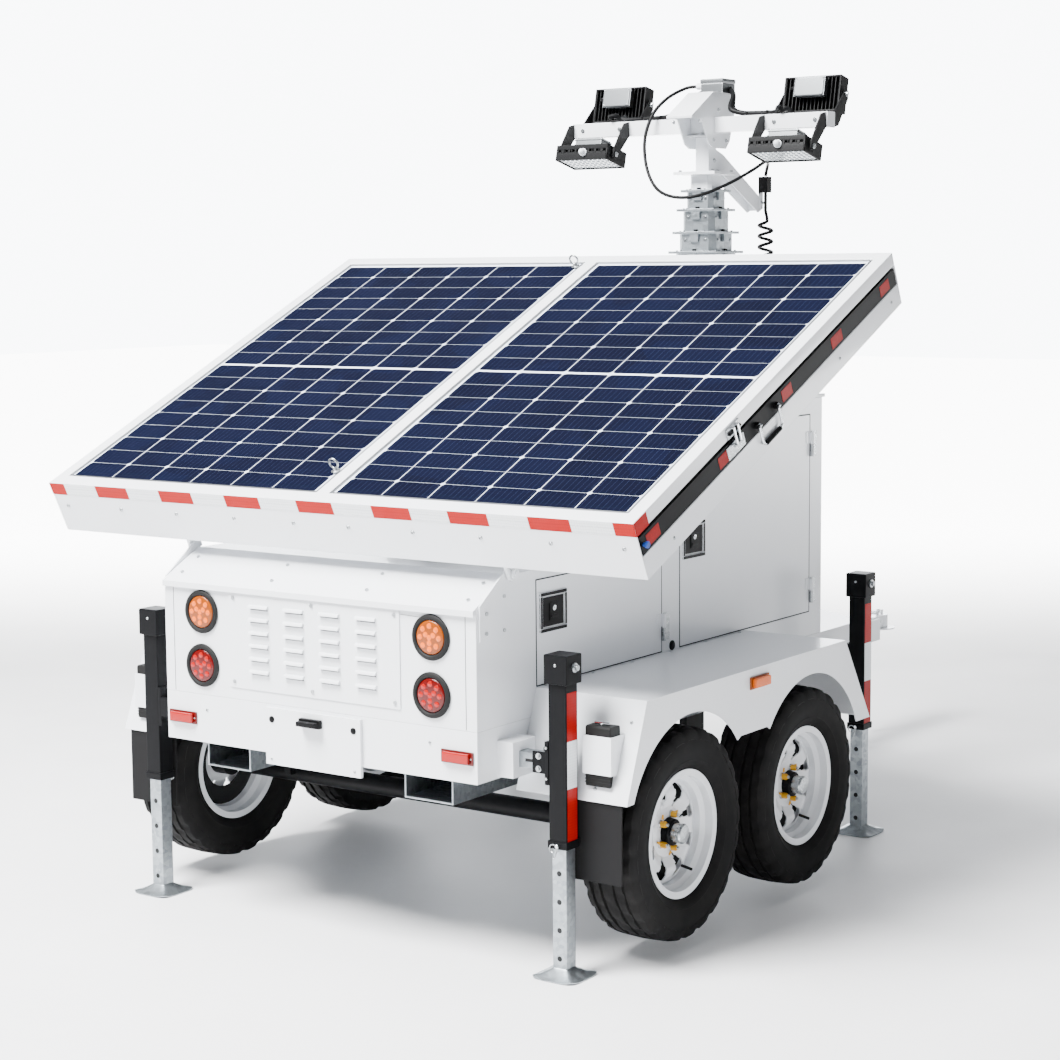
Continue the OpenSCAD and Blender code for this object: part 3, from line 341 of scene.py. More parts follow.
class Maker:
    """Gathers the geometry of one piece and turns it into an object."""

    def __init__(self, name: str, body: str, place: Matrix = ROW) -> None:
        """Start an empty piece.

        Args:
            name: the piece's name.
            body: the body that it rides on.
            place: the local frame that its sizes are given in.
        """
        self.name, self.body, self.place = name, body, place
        self.mesh = bmesh.new()
        self.finishes: list[Finish] = []

    def dress(self, faces: Iterable[bmesh.types.BMFace], finish: Finish) -> None:
        """Give the faces a finish."""
        if finish not in self.finishes:
            self.finishes.append(finish)
        k = self.finishes.index(finish)
        for face in faces:
            face.material_index = k

    def box(self, low: Sequence[float], high: Sequence[float], finish: Finish, bevel: float = 1.5,
            turn: Optional[Matrix] = None) -> None:
        """Add a block with rounded edges.

        Args:
            low: its lowest corner, in local millimetres.
            high: its highest corner.
            finish: its finish.
            bevel: the radius of its edges; 0 leaves them sharp.
            turn: a turn of the block in its own frame.
        """
        low, high = Vector(low), Vector(high)
        size = high - low
        local = Matrix.Translation((low + high) / 2)
        if turn is not None:
            local = turn @ local
        made = bmesh.ops.create_cube(self.mesh, size=1.0,
                                     matrix=local @ Matrix.Diagonal((*size, 1.0)))
        verts = set(made["verts"])
        faces = {f for v in verts for f in v.link_faces}
        self.dress(faces, finish)
        if bevel > 0:
            edges = {e for f in faces for e in f.edges}
            bmesh.ops.bevel(self.mesh, geom=list(edges), offset=min(bevel, min(size) * 0.45),
                            segments=2, affect="EDGES", profile=0.6,
                            material=self.finishes.index(finish))

    def ring(self, centre: Vector, side: Vector, up: Vector, radius: float, steps: int) -> list:
        """Add one circle of points."""
        return [self.mesh.verts.new(centre + radius * (math.cos(math.tau * k / steps) * side
                                                       + math.sin(math.tau * k / steps) * up))
                for k in range(steps)]

    def skin(self, rings: list, closed: bool, caps: bool) -> list:
        """Join rings of points with faces.

        Args:
            rings: rings with the same number of points.
            closed: whether the last ring joins the first.
            caps: whether the open ends get a face.

        Returns:
            The new faces.
        """
        faces, count = [], len(rings[0])
        pairs = list(zip(rings, rings[1:])) + ([(rings[-1], rings[0])] if closed else [])
        for low, high in pairs:
            for k in range(count):
                j = (k + 1) % count
                faces.append(self.mesh.faces.new((low[k], low[j], high[j], high[k])))
        if caps and not closed:
            faces.append(self.mesh.faces.new(list(reversed(rings[0]))))
            faces.append(self.mesh.faces.new(rings[-1]))
        return faces

    def lathe(self, origin: Sequence[float], axis: Sequence[float], profile: Sequence[tuple],
              finish: Finish, steps: int = 40, closed: bool = False) -> None:
        """Turn a profile of (radius, height) points about an axis.

        Args:
            origin: the axis's foot.
            axis: its direction.
            profile: the outline, from one end to the other.
            finish: its finish.
            steps: sides of the circle.
            closed: whether the outline closes on itself.
        """
        along = Vector(axis).normalized()
        side = along.orthogonal().normalized()
        up = along.cross(side)
        rings = [self.ring(Vector(origin) + along * h, side, up, max(r, 0.01), steps)
                 for r, h in profile]
        self.dress(self.skin(rings, closed, True), finish)

    def rod(self, start: Sequence[float], end: Sequence[float], radius: float, finish: Finish,
            steps: int = 20, bevel: float = 1.0) -> None:
        """Add a round bar with eased ends."""
        span = Vector(end) - Vector(start)
        length = span.length
        ease = min(bevel, radius * 0.4, length * 0.3)
        profile = [(radius - ease, 0), (radius, ease), (radius, length - ease), (radius - ease, length)]
        self.lathe(start, span, profile, finish, steps)

    def bolt(self, centre: Sequence[float], axis: Sequence[float], size: float, finish: Finish,
             washer: bool = True) -> None:
        """Add a hexagon head on a washer."""
        if washer:
            self.lathe(centre, axis, [(size * 0.95, 0), (size * 1.0, 0.6), (size * 1.0, 1.6),
                                      (size * 0.9, 2.0)], finish, 20)
        head = Vector(centre) + Vector(axis).normalized() * (1.9 if washer else 0)
        self.lathe(head, axis, [(size * 0.66, 0), (size * 0.66, size * 0.45), (size * 0.58, size * 0.55)],
                   finish, 6)

    def screw(self, centre: Sequence[float], axis: Sequence[float], size: float, finish: Finish) -> None:
        """Add a domed screw head with a socket."""
        self.lathe(centre, axis, [(size, 0), (size * 0.97, size * 0.25), (size * 0.75, size * 0.5),
                                  (size * 0.42, size * 0.6), (size * 0.4, size * 0.3)], finish, 18)

    def sweep(self, points: Sequence[Vector], radius: float, finish: Finish, steps: int = 10,
              closed: bool = False) -> None:
        """Run a round section along a line.

        Args:
            points: the line.
            radius: the section's radius.
            finish: its finish.
            steps: sides of the section.
            closed: whether the line closes on itself.
        """
        points = [Vector(p) for p in points]
        count = len(points)
        rings, up = [], None
        for k, point in enumerate(points):
            if closed:
                along = points[(k + 1) % count] - points[k - 1]
            else:
                along = points[min(k + 1, count - 1)] - points[max(k - 1, 0)]
            along.normalize()
            up = along.orthogonal().normalized() if up is None else (up - along * up.dot(along)).normalized()
            rings.append(self.ring(point, up, along.cross(up), radius, steps))
        self.dress(self.skin(rings, closed, True), finish)

    def plate(self, outline: Sequence[tuple], low: float, high: float, finish: Finish,
              turn: Optional[Matrix] = None, bevel: float = 1.0) -> None:
        """Draw a flat outline out into a plate.

        Args:
            outline: its corners, in the plate's own plane.
            low: where the plate starts, along its normal.
            high: where it ends.
            finish: its finish.
            turn: the plate's frame; by default its plane is X and Y.
            bevel: the radius of its edges.
        """
        turn = turn or Matrix()
        rings = [[self.mesh.verts.new(turn @ Vector((x, y, z))) for x, y in outline] for z in (low, high)]
        faces = self.skin(rings, False, True)
        self.dress(faces, finish)
        if bevel > 0:
            edges = {e for f in faces for e in f.edges}
            bmesh.ops.bevel(self.mesh, geom=list(edges), offset=min(bevel, (high - low) * 0.4),
                            segments=2, affect="EDGES", profile=0.6,
                            material=self.finishes.index(finish))

    def patch(self, corners: Sequence[Sequence[float]], finish: Finish) -> None:
        """Add one flat face."""
        self.dress([self.mesh.faces.new([self.mesh.verts.new(c) for c in corners])], finish)

    def build(self, smooth: float = 38.0, replaces: Sequence[str] = ()) -> bpy.types.Object:
        """Turn the geometry into an object that rides on its body.

        Args:
            smooth: angle in degrees up to which edges are shaded smooth.
            replaces: the CAD nodes that the piece stands for.

        Returns:
            The new object.
        """
        data = bpy.data.meshes.new(self.name)
        bmesh.ops.transform(self.mesh, matrix=self.place, verts=self.mesh.verts)
        bmesh.ops.recalc_face_normals(self.mesh, faces=self.mesh.faces)
        self.mesh.to_mesh(data)
        self.mesh.free()
        piece = bpy.data.objects.new(self.name, data)
        bpy.context.collection.objects.link(piece)
        return settle(piece, self.body, self.finishes, smooth, replaces)


def bake(piece: bpy.types.Object) -> None:
    """Turn an object's modifiers into its own mesh."""
    shape = piece.evaluated_get(bpy.context.evaluated_depsgraph_get())
    baked = bpy.data.meshes.new_from_object(shape)
    piece.modifiers.clear()
    piece.data = baked


def settle(piece: bpy.types.Object, body: str, finishes: Sequence[Finish], smooth: float,
           replaces: Sequence[str] = ()) -> bpy.types.Object:
    """Dress an object, shade it and hang it on its body, if it has one.

    Args:
        piece: the object.
        body: the body that it rides on, or nothing.
        finishes: its finishes, in the order of its faces' slots.
        smooth: the angle in degrees past which an edge stays sharp.
        replaces: the CAD nodes that it stands for.

    Returns:
        The object.
    """
    for finish in finishes:
        piece.data.materials.append(DRESS.material(finish))
    for face in piece.data.polygons:
        face.use_smooth = True
    piece.data.set_sharp_from_angle(angle=math.radians(smooth))
    if body:
        # Large flat faces keep their own normals, so that only the rounded edges shade round.
        ease = piece.modifiers.new("normals", "WEIGHTED_NORMAL")
        ease.keep_sharp = True
        bake(piece)
        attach(piece, body)
    if replaces:
        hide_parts(*replaces)
    log.info("%s on %s: %d faces", piece.name, body or "two bodies", len(piece.data.polygons))
    return piece


def rounded(node: str, body: str, finish: Finish, radius: float = 2.0, second: Optional[Finish] = None,
            where: Optional[Callable[[Vector], bool]] = None) -> bpy.types.Object:
    """Make a copy of a CAD node's shape with folded, rounded edges, to stand in its place.

    Args:
        node: the CAD node.
        body: the body that it belongs to.
        finish: its finish.
        radius: the radius of its edges, in millimetres.
        second: a second finish, where part of the piece has one.
        where: tells whether a face, by its middle in metres, has the second finish.

    Returns:
        The new object.
    """
    source = bpy.data.objects[node]
    mesh = bmesh.new()
    mesh.from_mesh(source.data)
    bmesh.ops.remove_doubles(mesh, verts=mesh.verts, dist=1e-5)
    data = bpy.data.meshes.new(node + "_shape")
    mesh.to_mesh(data)
    mesh.free()
    piece = bpy.data.objects.new(node + "_shape", data)
    bpy.context.collection.objects.link(piece)
    ease = piece.modifiers.new("edges", "BEVEL")
    ease.width = radius * MM
    ease.segments = 2
    ease.limit_method = "ANGLE"
    ease.angle_limit = math.radians(32)
    ease.use_clamp_overlap = True
    ease.miter_outer = "MITER_ARC"
    bake(piece)
    piece.data.materials.clear()
    if second and where:
        for face in piece.data.polygons:
            face.material_index = int(where(face.center))
    return settle(piece, body, [finish, second] if second else [finish], 35, [node])


def paint(finish: Finish, *nodes: str) -> None:
    """Give CAD nodes a finish in place."""
    for node in nodes:
        data = bpy.data.objects[node].data
        data.materials.clear()
        data.materials.append(DRESS.material(finish))
        for face in data.polygons:
            face.use_smooth = True
        data.set_sharp_from_angle(angle=math.radians(30))

# ---------------------------------------------------------------- studio


@dataclass
class Studio:
    """The camera, the pale floor and the soft lights.

    Attributes:
        azimuth: how far the camera stands round to the right, in degrees.
        pitch: how far it looks down, in degrees.
        roll: its turn about its own line of sight, in degrees.
        place: where it stands, in millimetres.
        lens: its focal length, on a 36 mm sensor.
        ambient: the strength of the dim walls around.
        backdrop: the strength of the lit wall behind the object.
    """

    azimuth: float = 35.22
    pitch: float = 6.77
    roll: float = -0.48
    place: tuple = (4648.8, -5371.6, 2188.5)
    lens: float = 75.79
    ambient: float = 0.3
    backdrop: float = 10.0

    def camera(self) -> None:
        """Make the camera."""
        a, e, r = (math.radians(v) for v in (self.azimuth, self.pitch, self.roll))
        back = Vector((math.sin(a) * math.cos(e), -math.cos(a) * math.cos(e), math.sin(e)))
        right = (-back).cross(Vector((0, 0, 1))).normalized()
        up = right.cross(-back).normalized()
        across = math.cos(r) * right + math.sin(r) * up
        above = -math.sin(r) * right + math.cos(r) * up
        data = bpy.data.cameras.new("camera")
        data.lens, data.sensor_width, data.clip_end = self.lens, 36.0, 200.0
        made = bpy.data.objects.new("camera", data)
        turn = Matrix((across, above, back)).transposed().to_4x4()
        made.matrix_world = Matrix.Translation(at(*self.place)) @ turn
        bpy.context.collection.objects.link(made)
        bpy.context.scene.camera = made

    def floor(self) -> None:
        """Make the floor."""
        mesh = bmesh.new()
        bmesh.ops.create_grid(mesh, x_segments=2, y_segments=2, size=40.0)
        data = bpy.data.meshes.new("floor")
        mesh.to_mesh(data)
        mesh.free()
        paper = DRESS.material(FLOOR)
        tree = paper.node_tree
        shader = tree.nodes["Principled BSDF"]
        place = add_node(tree, "TexCoord").outputs["Object"]
        tree.links.new(self._towards_back(tree, place, 3.2, 9.5, 0.0, self.backdrop),
                       shader.inputs["Emission Strength"])
        shader.inputs["Emission Color"].default_value = (1.0, 1.0, 1.0, 1.0)
        data.materials.append(paper)
        made = bpy.data.objects.new("floor", data)
        bpy.context.collection.objects.link(made)

    def _towards_back(self, tree: bpy.types.NodeTree, place: bpy.types.NodeSocket, near: float,
                      far: float, low: float, high: float) -> bpy.types.NodeSocket:
        """Make a strength that grows towards the lit wall behind the object.

        Args:
            tree: the node tree to add to.
            place: where the strength is wanted.
            near: the distance towards the wall where it starts to grow.
            far: the distance where it is full.
            low: the strength before that.
            high: the full strength.

        Returns:
            The strength's socket.
        """
        turn = math.radians(self.azimuth)
        along = add_node(tree, "VectorMath", {0: place, 1: (-math.sin(turn), math.cos(turn), 0.0)},
                         operation="DOT_PRODUCT").outputs["Value"]
        grow = add_node(tree, "MapRange", {"Value": along, "From Min": near, "From Max": far,
                                           "To Min": low, "To Max": high},
                        interpolation_type="SMOOTHSTEP")
        return grow.outputs["Result"]

    def light(self, name: str, place: tuple, aim: tuple, size: float, power: float,
              tint: tuple = (1.0, 1.0, 1.0)) -> None:
        """Add one soft area light.

        Args:
            name: the light's name.
            place: where it hangs, in metres.
            aim: what it points at, in metres.
            size: its side, in metres.
            power: its power, in watts.
            tint: its colour.
        """
        data = bpy.data.lights.new(name, "AREA")
        data.shape, data.size, data.energy, data.color = "SQUARE", size, power, tint
        made = bpy.data.objects.new(name, data)
        made.location = place
        made.rotation_euler = (Vector(aim) - Vector(place)).to_track_quat("-Z", "Y").to_euler()
        bpy.context.collection.objects.link(made)

    def lights(self) -> None:
        """Light the scene with a bright sky dome and soft boxes."""
        world = bpy.data.worlds.new("sky")
        bpy.context.scene.world = world
        world.use_nodes = True
        sky = world.node_tree.nodes["Background"]
        sky.inputs["Color"].default_value = (0.93, 0.96, 1.0, 1.0)
        place = add_node(world.node_tree, "TexCoord").outputs["Generated"]
        world.node_tree.links.new(
            self._towards_back(world.node_tree, place, 0.88, 0.955, self.ambient, self.backdrop),
            sky.inputs["Strength"])
        self.light("overhead", (-0.5, -2.0, 9.0), (0, 0, 0), 7.0, 650)
        self.light("rear_key", (-1.8, -6.6, 9.6), (0, -1.2, 0.9), 4.5, 7000)


# ---------------------------------------------------------------- cords


def curve_through(points: Sequence[tuple], per: int) -> list[Vector]:
    """Run a smooth line through points.

    Args:
        points: the points, in metres.
        per: points of the line for each stretch.

    Returns:
        The line's points.
    """
    known = [Vector(p) for p in points]
    line = []
    for k in range(len(known) - 1):
        a, b = known[max(k - 1, 0)], known[k]
        c, d = known[k + 1], known[min(k + 2, len(known) - 1)]
        for j in range(per):
            t = j / per
            line.append(0.5 * (2 * b + (c - a) * t + (2 * a - 5 * b + 4 * c - d) * t * t
                               + (3 * b - a - 3 * c + d) * t ** 3))
    return line + [known[-1]]


@dataclass
class Cords:
    """The curly cord up the mast and the loop of cable at the head.

    Attributes:
        axis: where the curly cord stands, in millimetres.
        coil_low: where its coils start.
        coil_high: where its coils end.
        top: where its straight tail meets the clamp.
        coil_radius: radius of its centreline.
        radius: radius of both cables.
        turns: how many coils it has.
        loop: the route of the head's loop, in the row frame, in metres.
    """

    axis: tuple = (45.0, 2870.0)
    coil_low: float = 990.0
    coil_high: float = 2390.0
    top: float = 2480.0
    coil_radius: float = 27.0
    radius: float = 7.0
    turns: int = 30
    loop: tuple = (
        (-0.0808, 0.49, 2.9), (-0.13, 0.48, 2.895), (-0.18, 0.42, 2.855), (-0.215, 0.365, 2.79),
        (-0.23, 0.33, 2.7), (-0.215, 0.305, 2.61), (-0.175, 0.28, 2.53), (-0.11, 0.25, 2.475),
        (-0.02, 0.235, 2.45), (0.07, 0.26, 2.458), (0.14, 0.35, 2.5), (0.175, 0.48, 2.555),
        (0.15, 0.64, 2.598), (0.095, 0.76, 2.598), (0.055, 0.82, 2.57), (0.045, 0.83, 2.549))

    def coil(self) -> list[Vector]:
        """Give the curly cord's centreline, in metres."""
        x, y = self.axis
        line = [at(x, y, self.coil_low), at(x + 10, y, self.coil_low + 12)]
        steps = self.turns * 14
        low, high = self.coil_low + 26, self.coil_high - 26
        for k in range(steps + 1):
            share = k / steps
            angle = math.tau * self.turns * share
            ease = min(1.0, (k + 3) / 9, (steps - k + 3) / 9)
            r = self.coil_radius * ease
            line.append(at(x + r * math.cos(angle), y + r * math.sin(angle), low + (high - low) * share))
        line += [at(x + 6, y, self.coil_high - 8), at(x, y, self.coil_high + 15),
                 at(x, y, (self.coil_high + self.top) / 2 + 10), at(x, y, self.top)]
        return line

    def tube(self, name: str, line: list[Vector], node: str) -> bpy.types.Object:
        """Run a cable along a line, in place of a CAD node."""
        maker = Maker(name, "", Matrix())
        maker.sweep(line, self.radius * MM, CABLE, 10)
        return maker.build(60, [node])

    def build(self) -> None:
        """Make both cords."""
        line = self.coil()
        cord = self.tube("curly_cord_coils", line, "curly_cord")
        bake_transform(cord)
        line = curve_through(self.loop, 6)
        loop = self.tube("loop_cable_sheath", line, "loop_cable")
        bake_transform(loop)


# ---------------------------------------------------------------- solar array


@dataclass
class SolarArray:
    """The tilting array: modules, frames, tape, drawers and their fittings.

    Attributes:
        half_w: half its width.
        low: its rear edge, up the slope from the pivot.
        top: its face above the pivot.
        module: a module's width and length.
        module_at: where a module starts, right of the middle and up the slope.
        cell: the pitch of the cells across and up.
        cell_at: where the cells start.
        gap: the gap between columns of cells.
        row_gap: the gap between rows of cells.
        mid_gap: the white band at a module's middle.
        chamfer: the cut corner of a cell.
    """

    half_w: float = 1212.0
    low: float = -56.0
    top: float = 249.0
    module: tuple = (1134.0, 1722.0)
    module_at: tuple = (28.0, 1.0)
    cell: tuple = (184.0, 93.27)
    cell_at: tuple = (45.0, 9.6)
    gap: float = 2.6
    row_gap: float = 1.1
    mid_gap: float = 11.16
    chamfer: float = 9.0

    def build(self) -> None:
        """Make every piece of the array."""
        rounded("array_tray", "array", WHITE, 2.5)
        rounded("array_top_frame", "array", WHITE, 2.5)
        self.modules()
        self.tape()
        self.fixings()
        for side, k in (("right", 1), ("left", -1)):
            rounded(f"drawer_{side}", f"{side}_drawer", BLACK, 2.0)
            self.drawer_trim(side, k)
            self.handle(side, k)
        rounded("strut_barrels", "barrels", BLACK, 1.5)
        paint(CHROME, "strut_rods")

    def modules(self) -> None:
        """Make the two modules: frame, backsheet, cells and ribbons."""
        maker = Maker("solar_modules_glazed", "array", ARRAY)
        z = self.top - 3.0
        for k in (1, -1):
            x0, y0 = self.module_at
            w, length = self.module
            xs = sorted((k * x0, k * (x0 + w)))
            y1 = y0 + length
            rim = 9.0
            maker.box((xs[0], y0, z - 30), (xs[0] + rim, y1, z), ANODISED, 0.8)
            maker.box((xs[1] - rim, y0, z - 30), (xs[1], y1, z), ANODISED, 0.8)
            maker.box((xs[0] + rim, y0, z - 30), (xs[1] - rim, y0 + rim, z), ANODISED, 0.8)
            maker.box((xs[0] + rim, y1 - rim, z - 30), (xs[1] - rim, y1, z), ANODISED, 0.8)
            maker.box((xs[0] + rim, y0 + rim, z - 7), (xs[1] - rim, y1 - rim, z - 2), BACKSHEET, 0)
            self._cells(maker, k, z - 1.8)
        maker.build(30, ["solar_modules"])

    def _cells(self, maker: Maker, k: int, z: float) -> None:
        """Lay one module's cells and ribbons.

        Args:
            maker: the piece that they join.
            k: 1 for the right module, -1 for the left.
            z: height of the cells.
        """
        wide, high = self.cell
        g, h, c = self.gap / 2, self.row_gap / 2, self.chamfer
        for row in range(18):
            y = self.cell_at[1] + row * high + (self.mid_gap if row > 8 else 0)
            line_above = 18 - row - 1    # counted from the top edge
            cut_top, cut_low = line_above % 2 == 1, line_above % 2 == 0
            for col in range(6):
                x = self.cell_at[0] + col * wide
                a, b, low, up = x + g, x + wide - g, y + h, y + high - h
                pts = [(a + c, low), (b - c, low), (b, low + c)] if cut_low else [(a, low), (b, low)]
                pts += [(b, up - c), (b - c, up), (a + c, up), (a, up - c)] if cut_top else [(b, up), (a, up)]
                if cut_low:
                    pts.append((a, low + c))
                maker.patch([(k * px, py, z) for px, py in pts], CELL)
        for half in (0, 1):
            y0 = self.cell_at[1] + half * (9 * high + self.mid_gap) + 3
            for col in range(6):
                for bar in range(9):
                    x = self.cell_at[0] + col * wide + wide * (bar + 0.5) / 9
                    maker.patch([(k * (x - 0.4), y0, z + 0.1), (k * (x + 0.4), y0, z + 0.1),
                                 (k * (x + 0.4), y0 + 9 * high - 6, z + 0.1),
                                 (k * (x - 0.4), y0 + 9 * high - 6, z + 0.1)], BUSBAR)

    def tape(self) -> None:
        """Lay red and white tape along the rear edge and round the corners."""
        maker = Maker("array_edge_tape", "array", ARRAY)
        y, low, high = self.low, 203.0, 247.0
        half = (75, 236, 388, 536, 686, 836, 987, 1139, 1212)    # the cuts right of the middle
        cuts = [-x for x in reversed(half)] + list(half)
        for k, (a, b) in enumerate(zip(cuts, cuts[1:])):
            finish = TAPE_WHITE if k % 2 else TAPE_RED
            maker.box((a + 0.3, y - 0.7, low), (b - 0.3, y - 0.05, high), finish, 0.2)
        for s in (1, -1):
            x = s * self.half_w
            xs = sorted((x + s * 0.05, x + s * 0.7))
            maker.box((xs[0], y, low), (xs[1], 17, high), TAPE_RED, 0.2)
        maker.build(30)

    def fixings(self) -> None:
        """Add the fascia's screws, the face's screws and the lifting eyes."""
        maker = Maker("array_fixings", "array", ARRAY)
        for x in (115, 375, 637, 897, 1157):
            for s in (1, -1):
                maker.screw((s * x, self.low, 159), (0, -1, 0), 7.5, ZINC)
        for v in (134, 1683):
            maker.lathe((-46, v, self.top - 0.5), (0, 0, 1), [(15, 0), (15, 3), (9, 5), (6, 14)], ZINC, 24)
            ring = [Vector((-46 + 17 * math.cos(a), v, self.top + 28 + 17 * math.sin(a)))
                    for a in (math.tau * k / 28 for k in range(28))]
            maker.sweep(ring, 3.6, ZINC, 10, closed=True)
        for s in (1, -1):
            for v in (120, 700, 1280, 1700):
                maker.screw((s * self.half_w, v, 95), (s, 0, 0), 6, ZINC)
        maker.build(40)

    def drawer_trim(self, side: str, k: int) -> None:
        """Add a drawer's red markers, latch and knob.

        Args:
            side: right or left.
            k: 1 for the right, -1 for the left.
        """
        maker = Maker(f"drawer_trim_{side}", f"{side}_drawer", ARRAY)
        x = k * (self.half_w - 2)

        def span(a: float, b: float) -> list:
            """Give two heights above the band's face, lowest x first."""
            return sorted((x + k * a, x + k * b))

        for v0, v1 in ((-12, 64), (444, 525), (880, 950), (1250, 1330), (1640, 1712)):
            xs = span(0.1, 0.9)
            maker.box((xs[0], v0, 143), (xs[1], v1, 182), TAPE_RED, 0.2)
        maker.lathe((x, -30, 163), (k, 0, 0), [(7, 0), (7, 6), (10, 8), (11, 15), (8, 18)], BLUE, 20)
        xs = span(0.5, 3)
        maker.box((xs[0], 500, 142), (xs[1], 612, 184), ZINC, 1)
        maker.build(35)
        latch = Maker(f"drawer_latch_{side}", "array", ARRAY)
        x = k * self.half_w
        xs = sorted((x, x + k * 5))
        latch.box((xs[0], 515, 207), (xs[1], 600, 240), ZINC, 1)
        xs = sorted((x + k * 3, x + k * 15))
        latch.box((xs[0], 540, 176), (xs[1], 552, 236), CHROME, 2)
        latch.box((xs[0], 566, 176), (xs[1], 578, 236), CHROME, 2)
        latch.rod((x + k * 9, 534, 178), (x + k * 9, 584, 178), 6, ZINC)
        latch.rod((x + k * 9, 522, 222), (x + k * 9, 592, 222), 5, BLACK)
        latch.build(35)

    def handle(self, side: str, k: int) -> None:
        """Make a drawer's bail handle.

        Args:
            side: right or left.
            k: 1 for the right, -1 for the left.
        """
        maker = Maker(f"drawer_bail_{side}", f"{side}_handle", ARRAY)
        x, top = k * (self.half_w + 9), 160.0
        line = [Vector((x, 697, top)), Vector((x, 697, top - 40)), Vector((x, 698, top - 60)),
                Vector((x, 705, top - 70)), Vector((x, 718, top - 72)), Vector((x, 809, top - 72)),
                Vector((x, 822, top - 70)), Vector((x, 829, top - 60)), Vector((x, 830, top - 40)),
                Vector((x, 830, top))]
        maker.sweep(line, 4.5, CHROME, 12)
        maker.rod((x, 712, top - 72), (x, 815, top - 72), 8, ABS, 20, 3)
        for v in (697, 830):
            maker.rod((x, v - 5, top), (x, v + 5, top), 8, CHROME)
        maker.build(40, [f"drawer_handle_{side}"])


# ---------------------------------------------------------------- body


@dataclass
class Body:
    """The cabinet, its rear face, doors and the frame under it.

    Attributes:
        half_w: half the body's width.
        latches: each latch's lowest corner and the bodies that it joins.
        doors: each door opening's side, lowest corner, length and height.
    """

    half_w: float = 653.0
    latches: tuple = ((334, 1032, 1, "lower_right", "low_latch", "low_door"),
                      (1200, 1169, 1, "tall_right", "right_latch", "right_door"),
                      (1200, 1169, -1, "tall_left", "left_latch", "left_door"))
    doors: tuple = ((1, 316.5, 863.5, 752, 343), (1, 1183.5, 863.5, 950, 757),
                    (-1, 1183.5, 863.5, 950, 757))

    def build(self) -> None:
        """Make every piece of the body."""
        rounded("body_shell", "trailer", WHITE, 2.5)
        rounded("main_frame", "trailer", WHITE, 2.0)
        rounded("rear_cover", "trailer", WHITE, 1.2)
        rounded("array_brackets", "trailer", WHITE, 1.2)
        paint(WHITE, "rear_panels")
        rounded("underframe", "trailer", GALVANISED, 1.5)
        rounded("lower_door_right", "low_door", WHITE, 1.5)
        rounded("tall_door_right", "right_door", WHITE, 1.5)
        rounded("tall_door_left", "left_door", WHITE, 1.5)
        paint(ZINC, "door_hinges", "panel_screws")
        paint(ABS, "battery_bank")
        rounded("cord_box", "trailer", BLACK, 3.0)
        for latch in self.latches:
            self.latch(*latch)
        self.trim()

    def latch(self, y: float, z: float, k: int, node: str, body: str, door: str) -> None:
        """Make a paddle latch with its frame.

        Args:
            y: its rear edge.
            z: its lower edge.
            k: 1 on the right side, -1 on the left.
            node: the CAD node's ending.
            body: the paddle's body.
            door: the door's body.
        """
        def span(a: float, b: float) -> list:
            """Give two heights above the body's side, lowest x first."""
            return sorted((k * (self.half_w + a), k * (self.half_w + b)))

        cup = Maker(f"latch_cup_{node}", door)
        xs = span(-0.5, 7.6)
        for low, high in (((y, z), (y + 148, z + 12)), ((y, z + 116), (y + 148, z + 128)),
                          ((y, z + 12), (y + 12, z + 116)), ((y + 136, z + 12), (y + 148, z + 116))):
            cup.box((xs[0], *low), (xs[1], *high), ABS, 2.5)
        cup.build(35)
        paddle = Maker(f"latch_paddle_{node}", body)
        xs = span(0.4, 5)
        paddle.box((xs[0], y + 17, z + 17), (xs[1], y + 131, z + 111), ABS, 2)
        xs = span(4, 8)
        paddle.box((xs[0], y + 50, z + 34), (xs[1], y + 98, z + 92), BLACK, 3)
        paddle.lathe((k * (self.half_w + 7), y + 74, z + 74), (k, 0, 0),
                     [(9, 0), (9, 2), (7.5, 2.6), (3, 2.6), (2.5, 1)], CHROME, 24)
        xs = span(7, 10)
        paddle.box((xs[0], y + 56, z + 44), (xs[1], y + 92, z + 54), BLACK, 2)
        paddle.build(35, [f"latch_{node}"])

    def trim(self) -> None:
        """Add the rear seams and the door gaps as painted shadow lines, plugs and bolts."""
        maker = Maker("body_trim", "trailer")
        for s in (1, -1):
            # Painted shadow: a dark line down each seam of the rear panels, standing in for the shade in the
            # joint.
            maker.box((s * 612 - 1.2, -0.4, 775), (s * 612 + 1.2, 0.2, 1148), SHADOW, 0)
            maker.screw((s * 175, -12.1, 592), (0, -1, 0), 5, ZINC)
            maker.screw((s * 470, -0.1, 720), (0, -1, 0), 5.5, ZINC)
        maker.lathe((self.half_w, 1133, 879), (1, 0, 0), [(17, 0), (17, 3), (13, 6), (5, 7)], ABS, 24)
        for y in (700, 1260, 1820):
            maker.screw((self.half_w + 0.1, y, 690), (1, 0, 0), 6, ZINC)
        # Painted shadow: dark strips round each door's gap stand in for the shade inside it.
        for k, y, z, length, high in self.doors:
            xs = sorted((k * (self.half_w - 3), k * (self.half_w + 0.4)))
            for low, top in (((y, z), (y + length, z + 4)), ((y, z + high - 4), (y + length, z + high)),
                             ((y, z), (y + 4, z + high)), ((y + length - 4, z), (y + length, z + high))):
                maker.box((xs[0], *low), (xs[1], *top), SHADOW, 0)
        for x in (-120, 120):
            for y in (2341, 2581):
                maker.bolt((x, y, 783), (0, 0, 1), 12, ZINC)
        maker.build(35)


# ---------------------------------------------------------------- lamps


